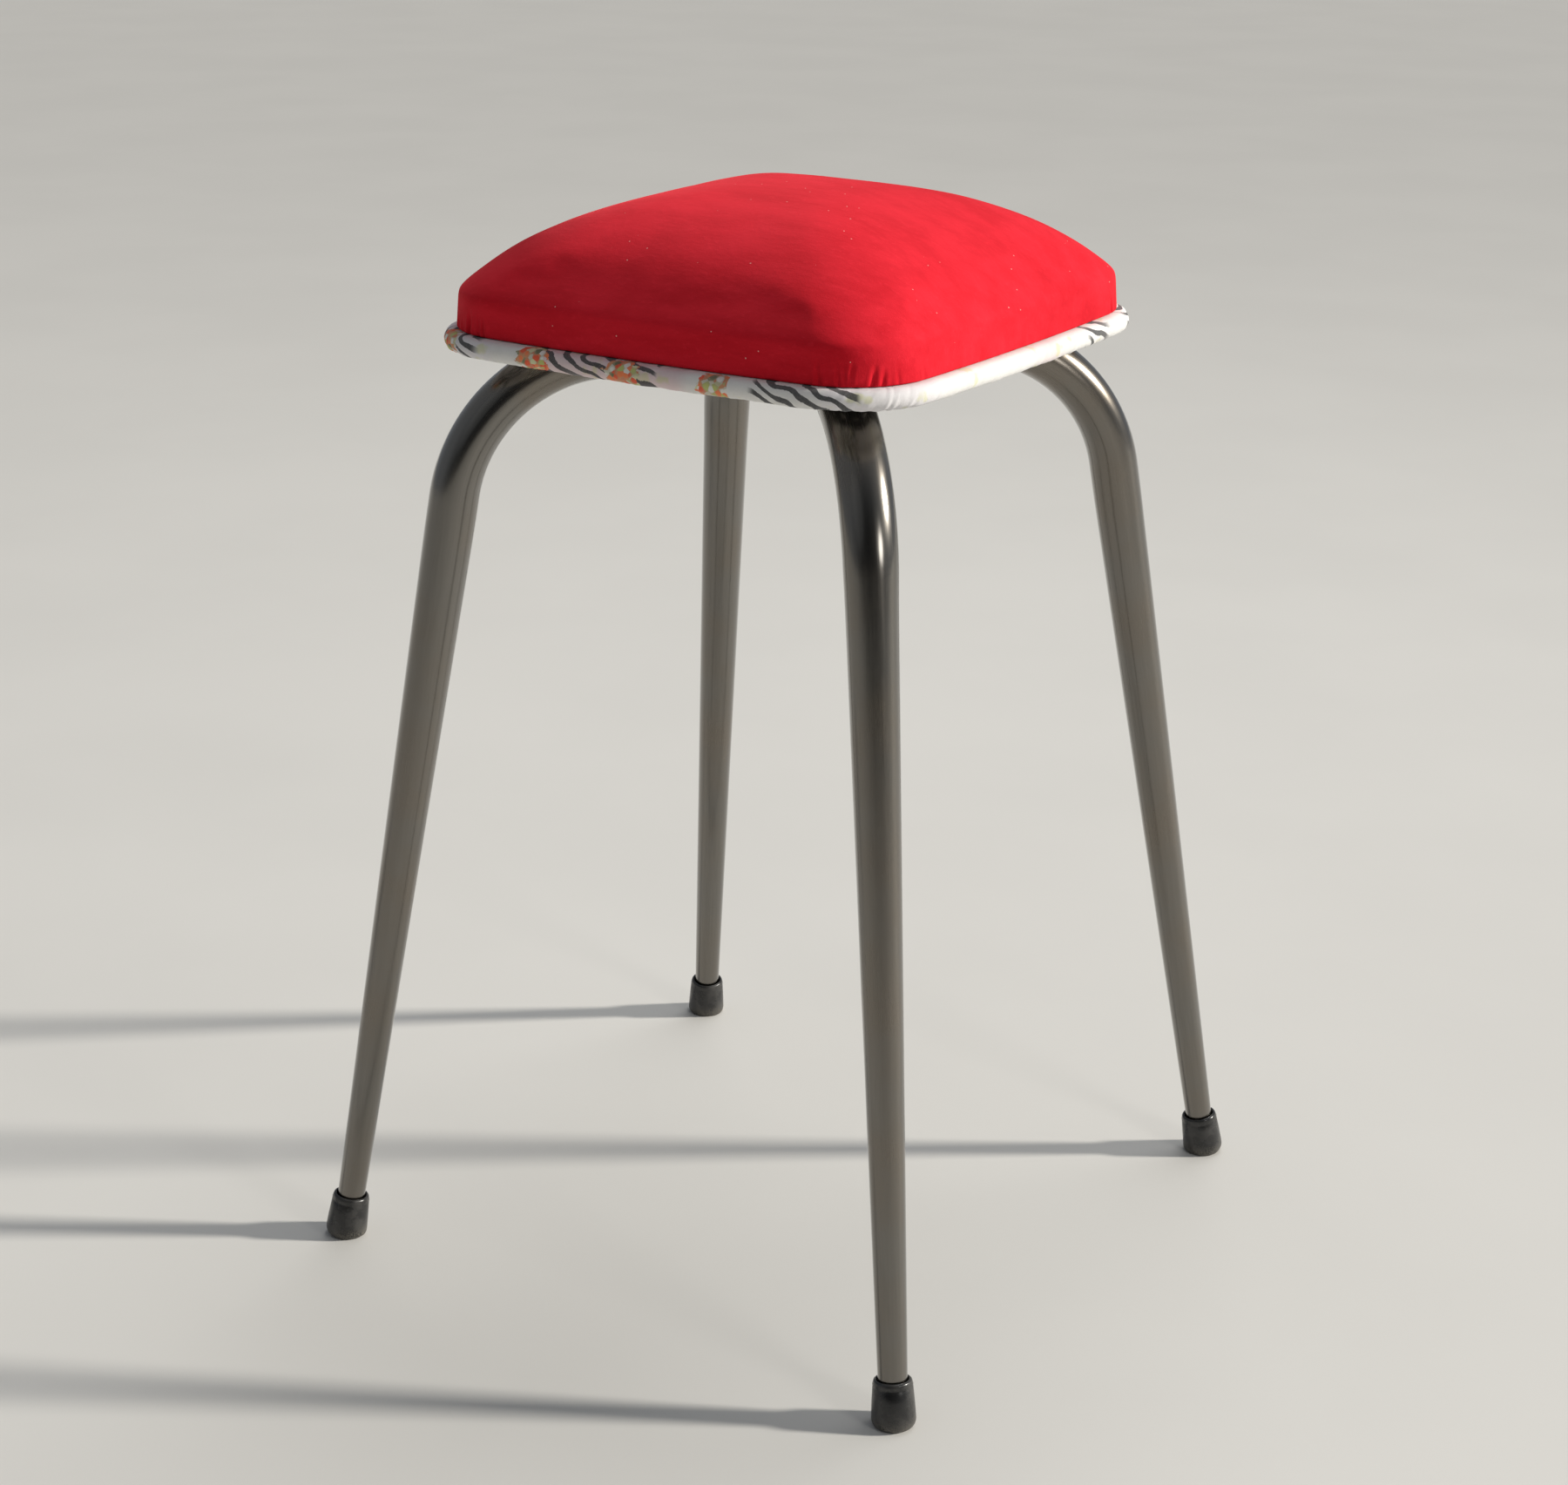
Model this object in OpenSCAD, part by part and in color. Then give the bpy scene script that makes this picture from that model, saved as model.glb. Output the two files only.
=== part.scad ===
// Stool with four splayed, tapered tube legs and a square padded seat.
// Each leg bends in under the seat and is welded to a flat steel plate.
// Eight wood screws hold that plate to the upholstered plywood board.
// +Z is up, the floor is z = 0 and the seat is centred on the Z axis.

/* [Frame] */
// Height of the underside of the mounting plate above the floor
frame_h = 538; // [440:1:660]
// Distance between neighbouring legs at the floor, centre to centre
foot_spread = 380; // [310:1:470]
// Radius of the bend at the top of each leg, to the tube's centreline
bend_r = 92; // [70:1:110]
// Distance from the piping at the seat's corner in to where the bend starts
bend_inset = 87.6; // [80:0.1:96]

/* [Tube] */
// Outside diameter of the tube in the bend and under the seat
tube_top_d = 28; // [22:0.5:34]
// Outside diameter of the tube at the floor end
tube_foot_d = 15.5; // [12:0.5:19]
// Wall thickness of the tube
tube_wall = 1.5; // [1:0.1:2.5]
// Gap left between each tube's inner end and its neighbours
tube_end_gap = 8; // [4:0.5:14]

/* [Rubber feet] */
// Length of a rubber foot along the leg
foot_len = 28; // [20:0.5:36]
// Outside diameter at the foot's rim
foot_rim_d = 21; // [20.5:0.5:25]
// Outside diameter at the foot's base
foot_base_d = 24.5; // [23:0.5:30]
// Rubber between the floor and the washer inside
foot_sole_t = 6; // [4:0.5:9]
// Radius of the foot's rounded bottom edge
foot_edge_r = 2.5; // [1:0.1:3]
// Thickness of the steel washer that the tube stands on
washer_t = 1.5; // [1:0.1:2.5]
// Hole through the middle of that washer
washer_hole_d = 5; // [3:0.5:7]

/* [Mounting plate] */
// Width of the square steel plate
plate_w = 140; // [116:1:168]
// Thickness of the plate
plate_t = 3; // [2:0.5:5]
// Corner radius of the plate
plate_corner_r = 12; // [6:1:16]
// Distance from the plate's edge to each screw
screw_edge = 12; // [9:0.5:15]
// Distance between the two screws of a pair
screw_pitch = 36; // [24:1:38]
// Height of the weld bead beside each tube
weld_h = 2.4; // [1.5:0.1:3.5]

/* [Screws] */
// Diameter of the screw shank in the wood
screw_d = 4.5; // [3.5:0.5:5]
// Diameter of the pan head
screw_head_d = 9; // [8:0.5:11]
// Height of the pan head
screw_head_h = 3; // [2:0.5:4]
// Depth that a screw bites into the board
screw_bite = 11; // [7:0.5:12]
// Extra diameter of the plate's holes around the shank
screw_play = 0.6; // [0.2:0.1:1]

/* [Seat board] */
// Width of the plywood board across its flats
board_w = 286; // [238:1:344]
// Thickness of the board
board_t = 15; // [13:0.5:18]
// Corner radius of the board
board_corner_r = 42; // [35:1:60]
// How far each side bows out at its middle
side_bow = 2.7; // [1:0.1:5]

/* [Upholstery] */
// Thickness of the wadding over the foam and the board's edge
wadding_t = 3; // [2:0.5:5]
// Thickness of the velvet
velvet_t = 1.2; // [0.8:0.1:2]
// Height of the upright side of the seat, above the board's underside
side_h = 19; // [17:0.5:24]
// Rise of the crown above that upright side, outside the velvet
crown_h = 52; // [38:1:64]
// Width of velvet turned in under the board
velvet_turn = 30; // [27:1:32]

/* [Piping] */
// Diameter of the cord inside the piping
cord_d = 9; // [6:0.5:12]
// Thickness of the printed cotton around the cord
cotton_t = 1; // [0.6:0.1:1.6]
// Width of the flat flange that fixes the piping, from the cord's centre
flange_w = 24; // [20:1:28]
// Distance that the cord's centre stands outside the velvet
piping_out = 1.4; // [0:0.1:3]

/* [Staples and dust cover] */
// Thickness of the black dust cover
dust_t = 0.5; // [0.4:0.1:0.8]
// Distance from the board's edge to the dust cover's edge
dust_inset = 15.5; // [14.5:0.5:17]
// Outside length of a staple's crown
staple_w = 10; // [8:0.5:12]
// Depth that a staple's legs reach above its crown
staple_leg = 8; // [6:0.5:9]
// Number of staples along each side in each row
staples_per_side = 8; // [5:1:9]
// Distance from the board's edge to the row that holds the piping
piping_row = 12; // [11:0.5:13]
// Distance from the board's edge to the row that holds the dust cover
dust_row = 24; // [23:0.5:26]

/* [Hidden] */
// Smoothness of turned shapes, and of the long shallow side arcs
round_fn = 64;
arc_fn = 720;
// Overlap that lets one cut run clear through a face
over = 1;
// Straight stretches are this much slimmer than the bends and lap into them, so that they join as one solid
seam_step = 0.05;
seam_lap = 0.5;
// Wire section of a staple
wire_w = 1.2;
wire_t = 0.6;
// Cross recess of a screw: width of a slot, and its length and depth as shares of the head's size
recess_w = 1;
recess_len = 0.5;
recess_depth = 0.6;
// Ends of a weld bead, in from the tube's end and from the plate's corner or the bend
weld_start = 3;
weld_stop = 5;
// Share of a bead's footprint that reaches out past the tube's side
weld_reach = 2 / 3;
// Share of its thickness that the doubled cotton keeps where it is pressed flat
flange_press = 0.6;
// Clearance between the piping's flange and the step in the dust cover
lap_play = 0.2;

// Plan of the board: four shallow side arcs that run smoothly into four corner arcs
half_w = board_w / 2;
flat_half = half_w - board_corner_r;
side_r = (flat_half * flat_half + side_bow * side_bow) / (2 * side_bow);
side_c = half_w - side_r;
corner_c = (side_c + sqrt(2 * pow(side_r - board_corner_r, 2) - side_c * side_c)) / 2;
side_turn = atan2(corner_c, corner_c - side_c);
side_steps = 2;
corner_steps = 7;

// The velvet and the piping's centre follow that plan, this far outside the board
velvet_out = wadding_t + velvet_t;
piping_path = velvet_out + piping_out;

// Leg: the tube runs level at run_z, bends down about (bend_x, bend_z), then slopes to the floor.
// Its lean is the one that takes the slope from the bend to the foot's place on the floor
run_z = frame_h - tube_top_d / 2;
bend_z = run_z - bend_r;
bend_x = corner_c * sqrt(2) + board_corner_r + piping_path - bend_inset;
floor_r = foot_spread / sqrt(2);
leg_splay = acos(bend_r / norm([floor_r - bend_x, bend_z])) - atan2(bend_z, floor_r - bend_x);
slope_top_z = bend_z + bend_r * sin(leg_splay);
slope_len = slope_top_z / cos(leg_splay);
run_end = tube_top_d / 2 + tube_end_gap;
tube_tip = foot_sole_t + washer_t;
function tube_d(along) =
    tube_foot_d + (tube_top_d - tube_foot_d) * (along - tube_tip) / (slope_len - tube_tip);

// Rubber foot: it starts below the floor along the leg, so that the floor cuts its whole sole flat
foot_start = -foot_base_d / 2 * tan(leg_splay);
foot_rim_r = 1.6;
foot_lean = atan((foot_base_d - foot_rim_d) / 2 / foot_len);
washer_play = 0.2;

// Seat layers, stacked upwards from the top of the mounting plate
plate_top = frame_h + plate_t;
board_z = plate_top + dust_t;
velvet_z = board_z - velvet_t;
flange_t = 2 * cotton_t * flange_press;
piping_r = cord_d / 2 + cotton_t;
piping_z = velvet_z - piping_r;
flange_z = velvet_z - flange_t;
side_top = board_z + side_h;

// Crown: rings of the outline shrink towards the middle, close together where the crown is steep
crown_bands = [1, 0.985, 0.95, 0.89, 0.79, 0.64, 0.44, 0.22, 0.06];
crown_power = 0.81;
// Share of a layer's thickness that lowers the foot of the crown beneath it
foot_share = 0.3;

// Direction of each leg in plan
front_right = -45;
back_right = 45;
back_left = 135;
front_left = 225;

module at_leg(azimuth) {
    rotate([0, 0, azimuth]) children();
}

// Puts the Z axis along the sloping part of a leg, with its origin on the floor
module along_leg(azimuth) {
    at_leg(azimuth) translate([floor_r, 0, 0]) rotate([0, -leg_splay, 0]) children();
}

// ---- Legs ----

// Slope, bend and level run as one shape; shrink takes that much off the radius, and
// reach lengthens both ends, so the same module makes the tube and its bore
module leg_form(azimuth, shrink, reach) {
    top_d = tube_top_d - 2 * shrink;
    tip_d = tube_d(tube_tip - reach) - 2 * shrink;
    along_leg(azimuth)
        translate([0, 0, tube_tip - reach])
            cylinder(h = slope_len - tube_tip + reach + seam_lap,
                d1 = tip_d, d2 = top_d - seam_step, $fn = round_fn);
    at_leg(azimuth) {
        translate([bend_x, 0, bend_z])
            rotate([90, 0, 0])
                rotate([0, 0, leg_splay])
                    rotate_extrude(angle = 90 - leg_splay, $fn = 2 * round_fn)
                        translate([bend_r, 0]) circle(d = top_d, $fn = round_fn);
        translate([run_end - reach, 0, run_z])
            rotate([0, 90, 0])
                cylinder(h = bend_x - run_end + reach + seam_lap, d = top_d - seam_step, $fn = round_fn);
    }
}

module leg(azimuth) {
    color([0.45, 0.44, 0.42])
        difference() {
            leg_form(azimuth, 0, 0);
            leg_form(azimuth, tube_wall, over);
        }
}

// ---- Rubber feet ----

function foot_wall_x(height) = foot_base_d / 2 - height * tan(foot_lean);
function foot_wall_point(r, height) = [
    foot_wall_x(height) - r / cos(foot_lean) + r * cos(foot_lean),
    height + r * sin(foot_lean)
];

// Outer half-section: a leaning wall that touches a round at the bottom edge and one at the rim
module foot_section() {
    low = foot_edge_r;
    high = foot_len - foot_rim_r;
    polygon([
        [0, 0],
        [foot_wall_x(low) - foot_edge_r / cos(foot_lean), 0],
        foot_wall_point(foot_edge_r, low),
        foot_wall_point(foot_rim_r, high),
        [foot_wall_x(high) - foot_rim_r / cos(foot_lean), foot_len],
        [0, foot_len]
    ]);
    translate([foot_wall_x(low) - foot_edge_r / cos(foot_lean), low])
        circle(r = foot_edge_r, $fn = round_fn);
    translate([foot_wall_x(high) - foot_rim_r / cos(foot_lean), high])
        circle(r = foot_rim_r, $fn = round_fn);
}

module foot_bore_section() {
    rim = foot_start + foot_len + over;
    polygon([
        [0, foot_sole_t],
        [tube_foot_d / 2, foot_sole_t],
        [tube_foot_d / 2, tube_tip],
        [tube_d(rim) / 2, rim],
        [0, rim]
    ]);
}

module rubber_foot(azimuth) {
    color([0.07, 0.07, 0.07])
        difference() {
            along_leg(azimuth)
                rotate_extrude($fn = round_fn)
                    difference() {
                        translate([0, foot_start]) foot_section();
                        foot_bore_section();
                    }
            at_leg(azimuth)
                translate([floor_r, 0, -foot_base_d / 2])
                    cube([2 * foot_base_d, 2 * foot_base_d, foot_base_d], center = true);
        }
}

module foot_washer(azimuth) {
    color([0.7, 0.7, 0.72])
        along_leg(azimuth)
            translate([0, 0, foot_sole_t])
                difference() {
                    cylinder(h = washer_t, d = tube_foot_d - washer_play, $fn = round_fn);
                    translate([0, 0, -over]) cylinder(h = washer_t + 2 * over, d = washer_hole_d, $fn = round_fn);
                }
}

// ---- Mounting plate, welds and screws ----

// Centres of the eight screws, two near the middle of each side
module at_screws() {
    for (turn = [0:90:270])
        for (side = [-1, 1])
            rotate([0, 0, turn]) translate([plate_w / 2 - screw_edge, side * screw_pitch / 2, 0]) children();
}

module plate_outline() {
    inner = plate_w - 2 * plate_corner_r;
    square([plate_w, inner], center = true);
    square([inner, plate_w], center = true);
    for (x = [-1, 1])
        for (y = [-1, 1])
            translate([x * inner / 2, y * inner / 2]) circle(r = plate_corner_r, $fn = round_fn);
}

module mounting_plate() {
    color([0.42, 0.42, 0.41])
        difference() {
            translate([0, 0, frame_h]) linear_extrude(plate_t) plate_outline();
            at_screws()
                translate([0, 0, frame_h - over])
                    cylinder(h = plate_t + 2 * over, d = screw_d + screw_play, $fn = round_fn);
        }
}

// A bead fills the wedge between the plate and the side of a tube
module weld_section() {
    tube_r = tube_top_d / 2;
    out = sqrt(tube_r * tube_r - pow(tube_r - weld_h, 2));
    difference() {
        translate([out * (1 - weld_reach), -weld_h]) square([out * weld_reach, weld_h]);
        translate([0, -tube_r]) circle(r = tube_r, $fn = round_fn);
    }
}

module weld_beads() {
    bead_start = run_end + weld_start;
    plate_reach = (plate_w / 2 - plate_corner_r) * sqrt(2) + plate_corner_r;
    bead_end = min(plate_reach, bend_x) - weld_stop;
    color([0.35, 0.33, 0.32])
        for (azimuth = [front_right, back_right, back_left, front_left])
            for (side = [0, 1])
                at_leg(azimuth)
                    mirror([0, side, 0])
                        translate([bead_start, 0, frame_h])
                            rotate([90, 0, 90]) linear_extrude(bead_end - bead_start) weld_section();
}

module screw_recess() {
    depth = screw_head_h * recess_depth + over;
    for (turn = [0, 90])
        rotate([0, 0, turn])
            translate([0, 0, -over])
                cube([screw_head_d * recess_len, recess_w, 2 * depth], center = true);
}

module plate_screws() {
    color([0.75, 0.74, 0.7])
        at_screws()
            translate([0, 0, frame_h - screw_head_h])
                difference() {
                    union() {
                        cylinder(h = screw_head_h, d = screw_head_d, $fn = round_fn);
                        cylinder(h = screw_head_h + plate_t + dust_t + screw_bite, d = screw_d, $fn = round_fn);
                    }
                    screw_recess();
                }
}

// ---- Seat outline ----

function side_point(grow, turn) = [(side_r + grow) * sin(turn), side_c + (side_r + grow) * cos(turn)];
function corner_point(grow, turn) = [
    corner_c + (board_corner_r + grow) * sin(turn),
    corner_c + (board_corner_r + grow) * cos(turn)
];

// Turns a point clockwise by whole quarters
function quarter(p, n) = n == 0 ? p : quarter([p[1], -p[0]], n - 1);

// Outline of the board, grown outwards by the given amount, from the middle of one side round
function seat_outline(grow) = [
    for (n = [0:3])
        for (p = concat(
            [for (i = [-side_steps:side_steps]) side_point(grow, side_turn * i / side_steps)],
            [for (i = [1:corner_steps - 1])
                corner_point(grow, side_turn + (90 - 2 * side_turn) * i / corner_steps)]
        ))
            quarter(p, n)
];

module seat_prism(grow, low, high) {
    translate([0, 0, low]) linear_extrude(high - low) polygon(seat_outline(grow));
}

// One ring of points: the outline, scaled towards the middle and set at a height
function seat_ring(grow, band, z) = [for (p = seat_outline(grow)) [p[0] * band, p[1] * band, z]];

// Height of the crown at a band, where 1 is its foot and crown_bands' last value is its top
function crown_at(band) =
    let (last = crown_bands[len(crown_bands) - 1], way = (band - last) / (1 - last))
        pow(1 - way * way, crown_power);

// Rings of the crown from its foot to its top, set inwards by the cover that lies over it
function crown_rings(cover) = [
    for (band = crown_bands)
        seat_ring(velvet_out - cover, band,
            side_top - cover * foot_share + (crown_h - cover * (1 - foot_share)) * crown_at(band))
];

// Solid between rings with equal numbers of points, closed by its first and last ring
module ring_stack(rings) {
    n = len(rings[0]);
    last = len(rings) - 1;
    polyhedron(
        points = [for (ring = rings) for (p = ring) p],
        faces = concat(
            [[for (i = [0:n - 1]) i]],
            [for (r = [0:last - 1]) for (i = [0:n - 1])
                [r * n + i, (r + 1) * n + i, (r + 1) * n + (i + 1) % n, r * n + (i + 1) % n]],
            [[for (i = [n - 1:-1:0]) last * n + i]]
        )
    );
}

function flipped(rings) = [for (i = [len(rings) - 1:-1:0]) rings[i]];

// ---- Seat ----

module seat_board() {
    color([0.72, 0.55, 0.36])
        difference() {
            seat_prism(0, board_z, board_z + board_t);
            at_screws()
                translate([0, 0, board_z - over])
                    cylinder(h = screw_bite + over, d = screw_d, $fn = round_fn);
            staple_slots(piping_row, flange_z - wire_t);
            staple_slots(dust_row, velvet_z - dust_t - wire_t);
        }
}

module foam_pad() {
    low = board_z + board_t;
    color([0.93, 0.86, 0.6])
        ring_stack(flipped(concat([seat_ring(0, 1, low)], crown_rings(velvet_out))));
}

module wadding_layer() {
    color([0.95, 0.95, 0.93])
        ring_stack(concat(
            flipped(crown_rings(velvet_t)),
            [seat_ring(wadding_t, 1, board_z), seat_ring(0, 1, board_z)],
            crown_rings(velvet_out)
        ));
}

module velvet_cover() {
    color([0.85, 0.05, 0.12])
        difference() {
            ring_stack(concat(
                flipped(crown_rings(0)),
                [seat_ring(velvet_out, 1, velvet_z), seat_ring(-velvet_turn, 1, velvet_z)],
                [seat_ring(-velvet_turn, 1, board_z), seat_ring(wadding_t, 1, board_z)],
                crown_rings(velvet_t)
            ));
            staple_slots(piping_row, flange_z - wire_t);
            staple_slots(dust_row, velvet_z - dust_t - wire_t);
        }
}

// ---- Piping ----

// Sweeps a section round the seat; the section's X points outwards from the cord's centreline
module sweep_round_seat(height) {
    side_lap = seam_lap / side_r * 180 / PI;
    for (turn = [0:90:270])
        rotate([0, 0, turn]) translate([0, 0, height]) {
            translate([0, side_c, 0])
                rotate([0, 0, 90 - side_turn - side_lap])
                    rotate_extrude(angle = 2 * (side_turn + side_lap), $fn = arc_fn)
                        translate([side_r + piping_path, 0]) scale(1 - seam_step / piping_r) children();
            translate([corner_c, corner_c, 0])
                rotate([0, 0, side_turn])
                    rotate_extrude(angle = 90 - 2 * side_turn, $fn = arc_fn / 4)
                        translate([board_corner_r + piping_path, 0]) children();
        }
}

module piping_cord() {
    color([0.9, 0.88, 0.82])
        sweep_round_seat(piping_z) circle(d = cord_d, $fn = round_fn / 2);
}

module piping_section() {
    difference() {
        union() {
            circle(r = piping_r, $fn = round_fn / 2);
            translate([-flange_w, piping_r - flange_t]) square([flange_w, flange_t]);
        }
        circle(d = cord_d, $fn = round_fn / 2);
    }
}

module piping_sleeve() {
    color([0.93, 0.91, 0.88])
        difference() {
            sweep_round_seat(piping_z) piping_section();
            staple_slots(piping_row, flange_z - wire_t);
        }
}

// ---- Staples and dust cover ----

// Places along each side and one across each corner, a given distance in from the board's edge
module at_staples(row) {
    usable = 2 * (corner_c - staple_w / 2);
    for (turn = [0:90:270])
        rotate([0, 0, turn]) {
            for (i = [0:staples_per_side - 1])
                translate([0, half_w - side_bow / 2 - row, 0])
                    translate([usable * (i / (staples_per_side - 1) - 0.5), 0, 0]) children();
            translate([corner_c, corner_c, 0])
                rotate([0, 0, -45])
                    translate([0, board_corner_r - row, 0]) children();
        }
}

module staple_slots(row, low) {
    translate([0, 0, low])
        at_staples(row)
            for (end = [-1, 1])
                translate([end * (staple_w - wire_t) / 2, 0, (staple_leg + wire_t) / 2])
                    cube([wire_t, wire_w, staple_leg + wire_t], center = true);
}

module staples(row, low) {
    color([0.72, 0.73, 0.75]) {
        staple_slots(row, low);
        translate([0, 0, low + wire_t / 2]) at_staples(row) cube([staple_w, wire_w, wire_t], center = true);
    }
}

// The sheet steps down where it laps over the turned-in velvet and the piping's flange
module dust_cover() {
    velvet_edge = -velvet_turn;
    flange_edge = piping_path - flange_w - lap_play;
    color([0.12, 0.12, 0.12])
        difference() {
            union() {
                seat_prism(velvet_edge, board_z - dust_t, board_z);
                difference() {
                    seat_prism(flange_edge, velvet_z - dust_t, velvet_z);
                    seat_prism(velvet_edge - dust_t, velvet_z - dust_t - over, velvet_z + over);
                }
                difference() {
                    seat_prism(velvet_edge, velvet_z - dust_t, board_z);
                    seat_prism(velvet_edge - dust_t, velvet_z - dust_t - over, board_z + over);
                }
                difference() {
                    seat_prism(-dust_inset, flange_z - dust_t, flange_z);
                    seat_prism(flange_edge - dust_t, flange_z - dust_t - over, flange_z + over);
                }
                difference() {
                    seat_prism(flange_edge, flange_z - dust_t, velvet_z);
                    seat_prism(flange_edge - dust_t, flange_z - dust_t - over, velvet_z + over);
                }
            }
            at_screws()
                translate([0, 0, board_z - dust_t - over])
                    cylinder(h = dust_t + 2 * over, d = screw_d, $fn = round_fn);
            staple_slots(dust_row, velvet_z - dust_t - wire_t);
        }
}

leg(front_left);  // leg_front_left
leg(front_right);  // leg_front_right
leg(back_left);  // leg_back_left
leg(back_right);  // leg_back_right
rubber_foot(front_left);  // rubber_foot_front_left
rubber_foot(front_right);  // rubber_foot_front_right
rubber_foot(back_left);  // rubber_foot_back_left
rubber_foot(back_right);  // rubber_foot_back_right
foot_washer(front_left);  // foot_washer_front_left
foot_washer(front_right);  // foot_washer_front_right
foot_washer(back_left);  // foot_washer_back_left
foot_washer(back_right);  // foot_washer_back_right
mounting_plate();
weld_beads();
plate_screws();
seat_board();
foam_pad();
wadding_layer();
velvet_cover();
piping_cord();
piping_sleeve();
staples(piping_row, flange_z - wire_t);  // piping_staples
dust_cover();
staples(dust_row, velvet_z - dust_t - wire_t);  // dust_cover_staples
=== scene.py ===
import math
import random

import bmesh
import bpy
from mathutils import Matrix, Vector, kdtree, noise


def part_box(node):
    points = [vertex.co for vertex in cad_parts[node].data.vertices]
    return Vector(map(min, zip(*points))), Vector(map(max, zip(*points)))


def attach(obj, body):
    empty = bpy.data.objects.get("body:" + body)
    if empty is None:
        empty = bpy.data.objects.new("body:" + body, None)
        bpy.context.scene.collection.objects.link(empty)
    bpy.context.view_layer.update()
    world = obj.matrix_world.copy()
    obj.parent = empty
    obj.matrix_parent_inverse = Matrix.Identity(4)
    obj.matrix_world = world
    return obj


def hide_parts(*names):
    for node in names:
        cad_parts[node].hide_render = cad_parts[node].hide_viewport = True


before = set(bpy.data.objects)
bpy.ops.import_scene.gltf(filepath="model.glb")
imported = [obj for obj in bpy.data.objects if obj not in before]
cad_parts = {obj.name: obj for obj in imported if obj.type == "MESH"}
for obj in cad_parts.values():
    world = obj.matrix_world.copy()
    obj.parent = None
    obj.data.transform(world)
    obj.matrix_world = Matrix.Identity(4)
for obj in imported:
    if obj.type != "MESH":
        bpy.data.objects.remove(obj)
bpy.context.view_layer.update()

scene = bpy.context.scene
corners = {"front_right": -45, "back_right": 45, "back_left": 135, "front_left": 225}


# small helpers for node trees

def put(tree, kind, inputs=None, **settings):
    made = tree.nodes.new(kind)
    for name, value in settings.items():
        setattr(made, name, value)
    for key, value in (inputs or {}).items():
        socket = made.inputs[key]
        if isinstance(value, bpy.types.NodeSocket):
            tree.links.new(value, socket)
        else:
            socket.default_value = value
    return made


def calc(tree, operation, a, b=0.0, c=None):
    inputs = {0: a, 1: b} if c is None else {0: a, 1: b, 2: c}
    return put(tree, "ShaderNodeMath", inputs, operation=operation).outputs[0]


def vectorCalc(tree, operation, a, b=(0, 0, 0), scale=None):
    inputs = {0: a, "Scale": scale} if operation == "SCALE" else {0: a, 1: b}
    made = put(tree, "ShaderNodeVectorMath", inputs, operation=operation)
    return made.outputs["Value" if operation == "DOT_PRODUCT" else "Vector"]


def remap(tree, value, low, high, toLow=0.0, toHigh=1.0, smooth=True):
    way = "SMOOTHSTEP" if smooth else "LINEAR"
    made = put(tree, "ShaderNodeMapRange", {0: value, 1: low, 2: high, 3: toLow, 4: toHigh}, interpolation_type=way)
    return made.outputs[0]


def mixed(tree, share, a, b):
    a, b = ((*c, 1) if isinstance(c, tuple) and len(c) == 3 else c for c in (a, b))
    made = put(tree, "ShaderNodeMix", {0: share, 6: a, 7: b}, data_type="RGBA")
    return made.outputs[2]


def ramp(tree, value, stops, way="LINEAR"):
    made = put(tree, "ShaderNodeValToRGB", {0: value})
    made.color_ramp.interpolation = way
    parts = made.color_ramp.elements
    while len(parts) < len(stops):
        parts.new(0.5)
    for part, (place, colour) in zip(parts, stops):
        part.position = place
        part.color = (*colour, 1)
    return made.outputs[0]


def newGroup(name, inputs, outputs, kind="ShaderNodeTree"):
    group = bpy.data.node_groups.new(name, kind)
    for label, socket, value in inputs:
        made = group.interface.new_socket(label, in_out="INPUT", socket_type="NodeSocket" + socket)
        if value is not None:
            made.default_value = value
    for label, socket in outputs:
        group.interface.new_socket(label, in_out="OUTPUT", socket_type="NodeSocket" + socket)
    return group, group.nodes.new("NodeGroupInput").outputs, group.nodes.new("NodeGroupOutput").inputs


def useGroup(tree, group, **values):
    return put(tree, "ShaderNodeGroup", values, node_tree=group).outputs


# effects that several finishes share

def makePatches():
    # soft cloudy mask: one size of patch, cut between two levels
    group, inn, out = newGroup("softPatches", [
        ("Vector", "Vector", None), ("Scale", "Float", 20.0), ("Detail", "Float", 3.0),
        ("Low", "Float", 0.4), ("High", "Float", 0.6)], [("Mask", "Float")])
    cloud = put(group, "ShaderNodeTexNoise", {name: inn[name] for name in ("Vector", "Scale", "Detail")})
    group.links.new(remap(group, cloud.outputs[0], inn["Low"], inn["High"]), out["Mask"])
    return group


def makeGrain():
    # streaks that run along one axis, made by squeezing the pattern across it
    group, inn, out = newGroup("streakGrain", [
        ("Vector", "Vector", None), ("Stretch", "Vector", (1.0, 1.0, 1.0)), ("Scale", "Float", 100.0)],
        [("Mask", "Float")])
    squeezed = vectorCalc(group, "MULTIPLY", inn["Vector"], inn["Stretch"])
    fine = put(group, "ShaderNodeTexNoise", {"Vector": squeezed, "Scale": inn["Scale"], "Detail": 5.0,
                                             "Roughness": 0.6})
    group.links.new(fine.outputs[0], out["Mask"])
    return group


def makeSpecks():
    # scattered round specks: a share of the cells of one size hold one
    group, inn, out = newGroup("scatteredSpecks", [
        ("Vector", "Vector", None), ("Scale", "Float", 80.0), ("Size", "Float", 0.08), ("Share", "Float", 0.4)],
        [("Mask", "Float")])
    cells = put(group, "ShaderNodeTexVoronoi", {"Vector": inn["Vector"], "Scale": inn["Scale"]})
    spot = calc(group, "LESS_THAN", cells.outputs["Distance"], inn["Size"])
    pick = put(group, "ShaderNodeSeparateColor", {0: cells.outputs["Color"]})
    kept = calc(group, "LESS_THAN", pick.outputs[0], inn["Share"])
    group.links.new(calc(group, "MULTIPLY", spot, kept), out["Mask"])
    return group


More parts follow.
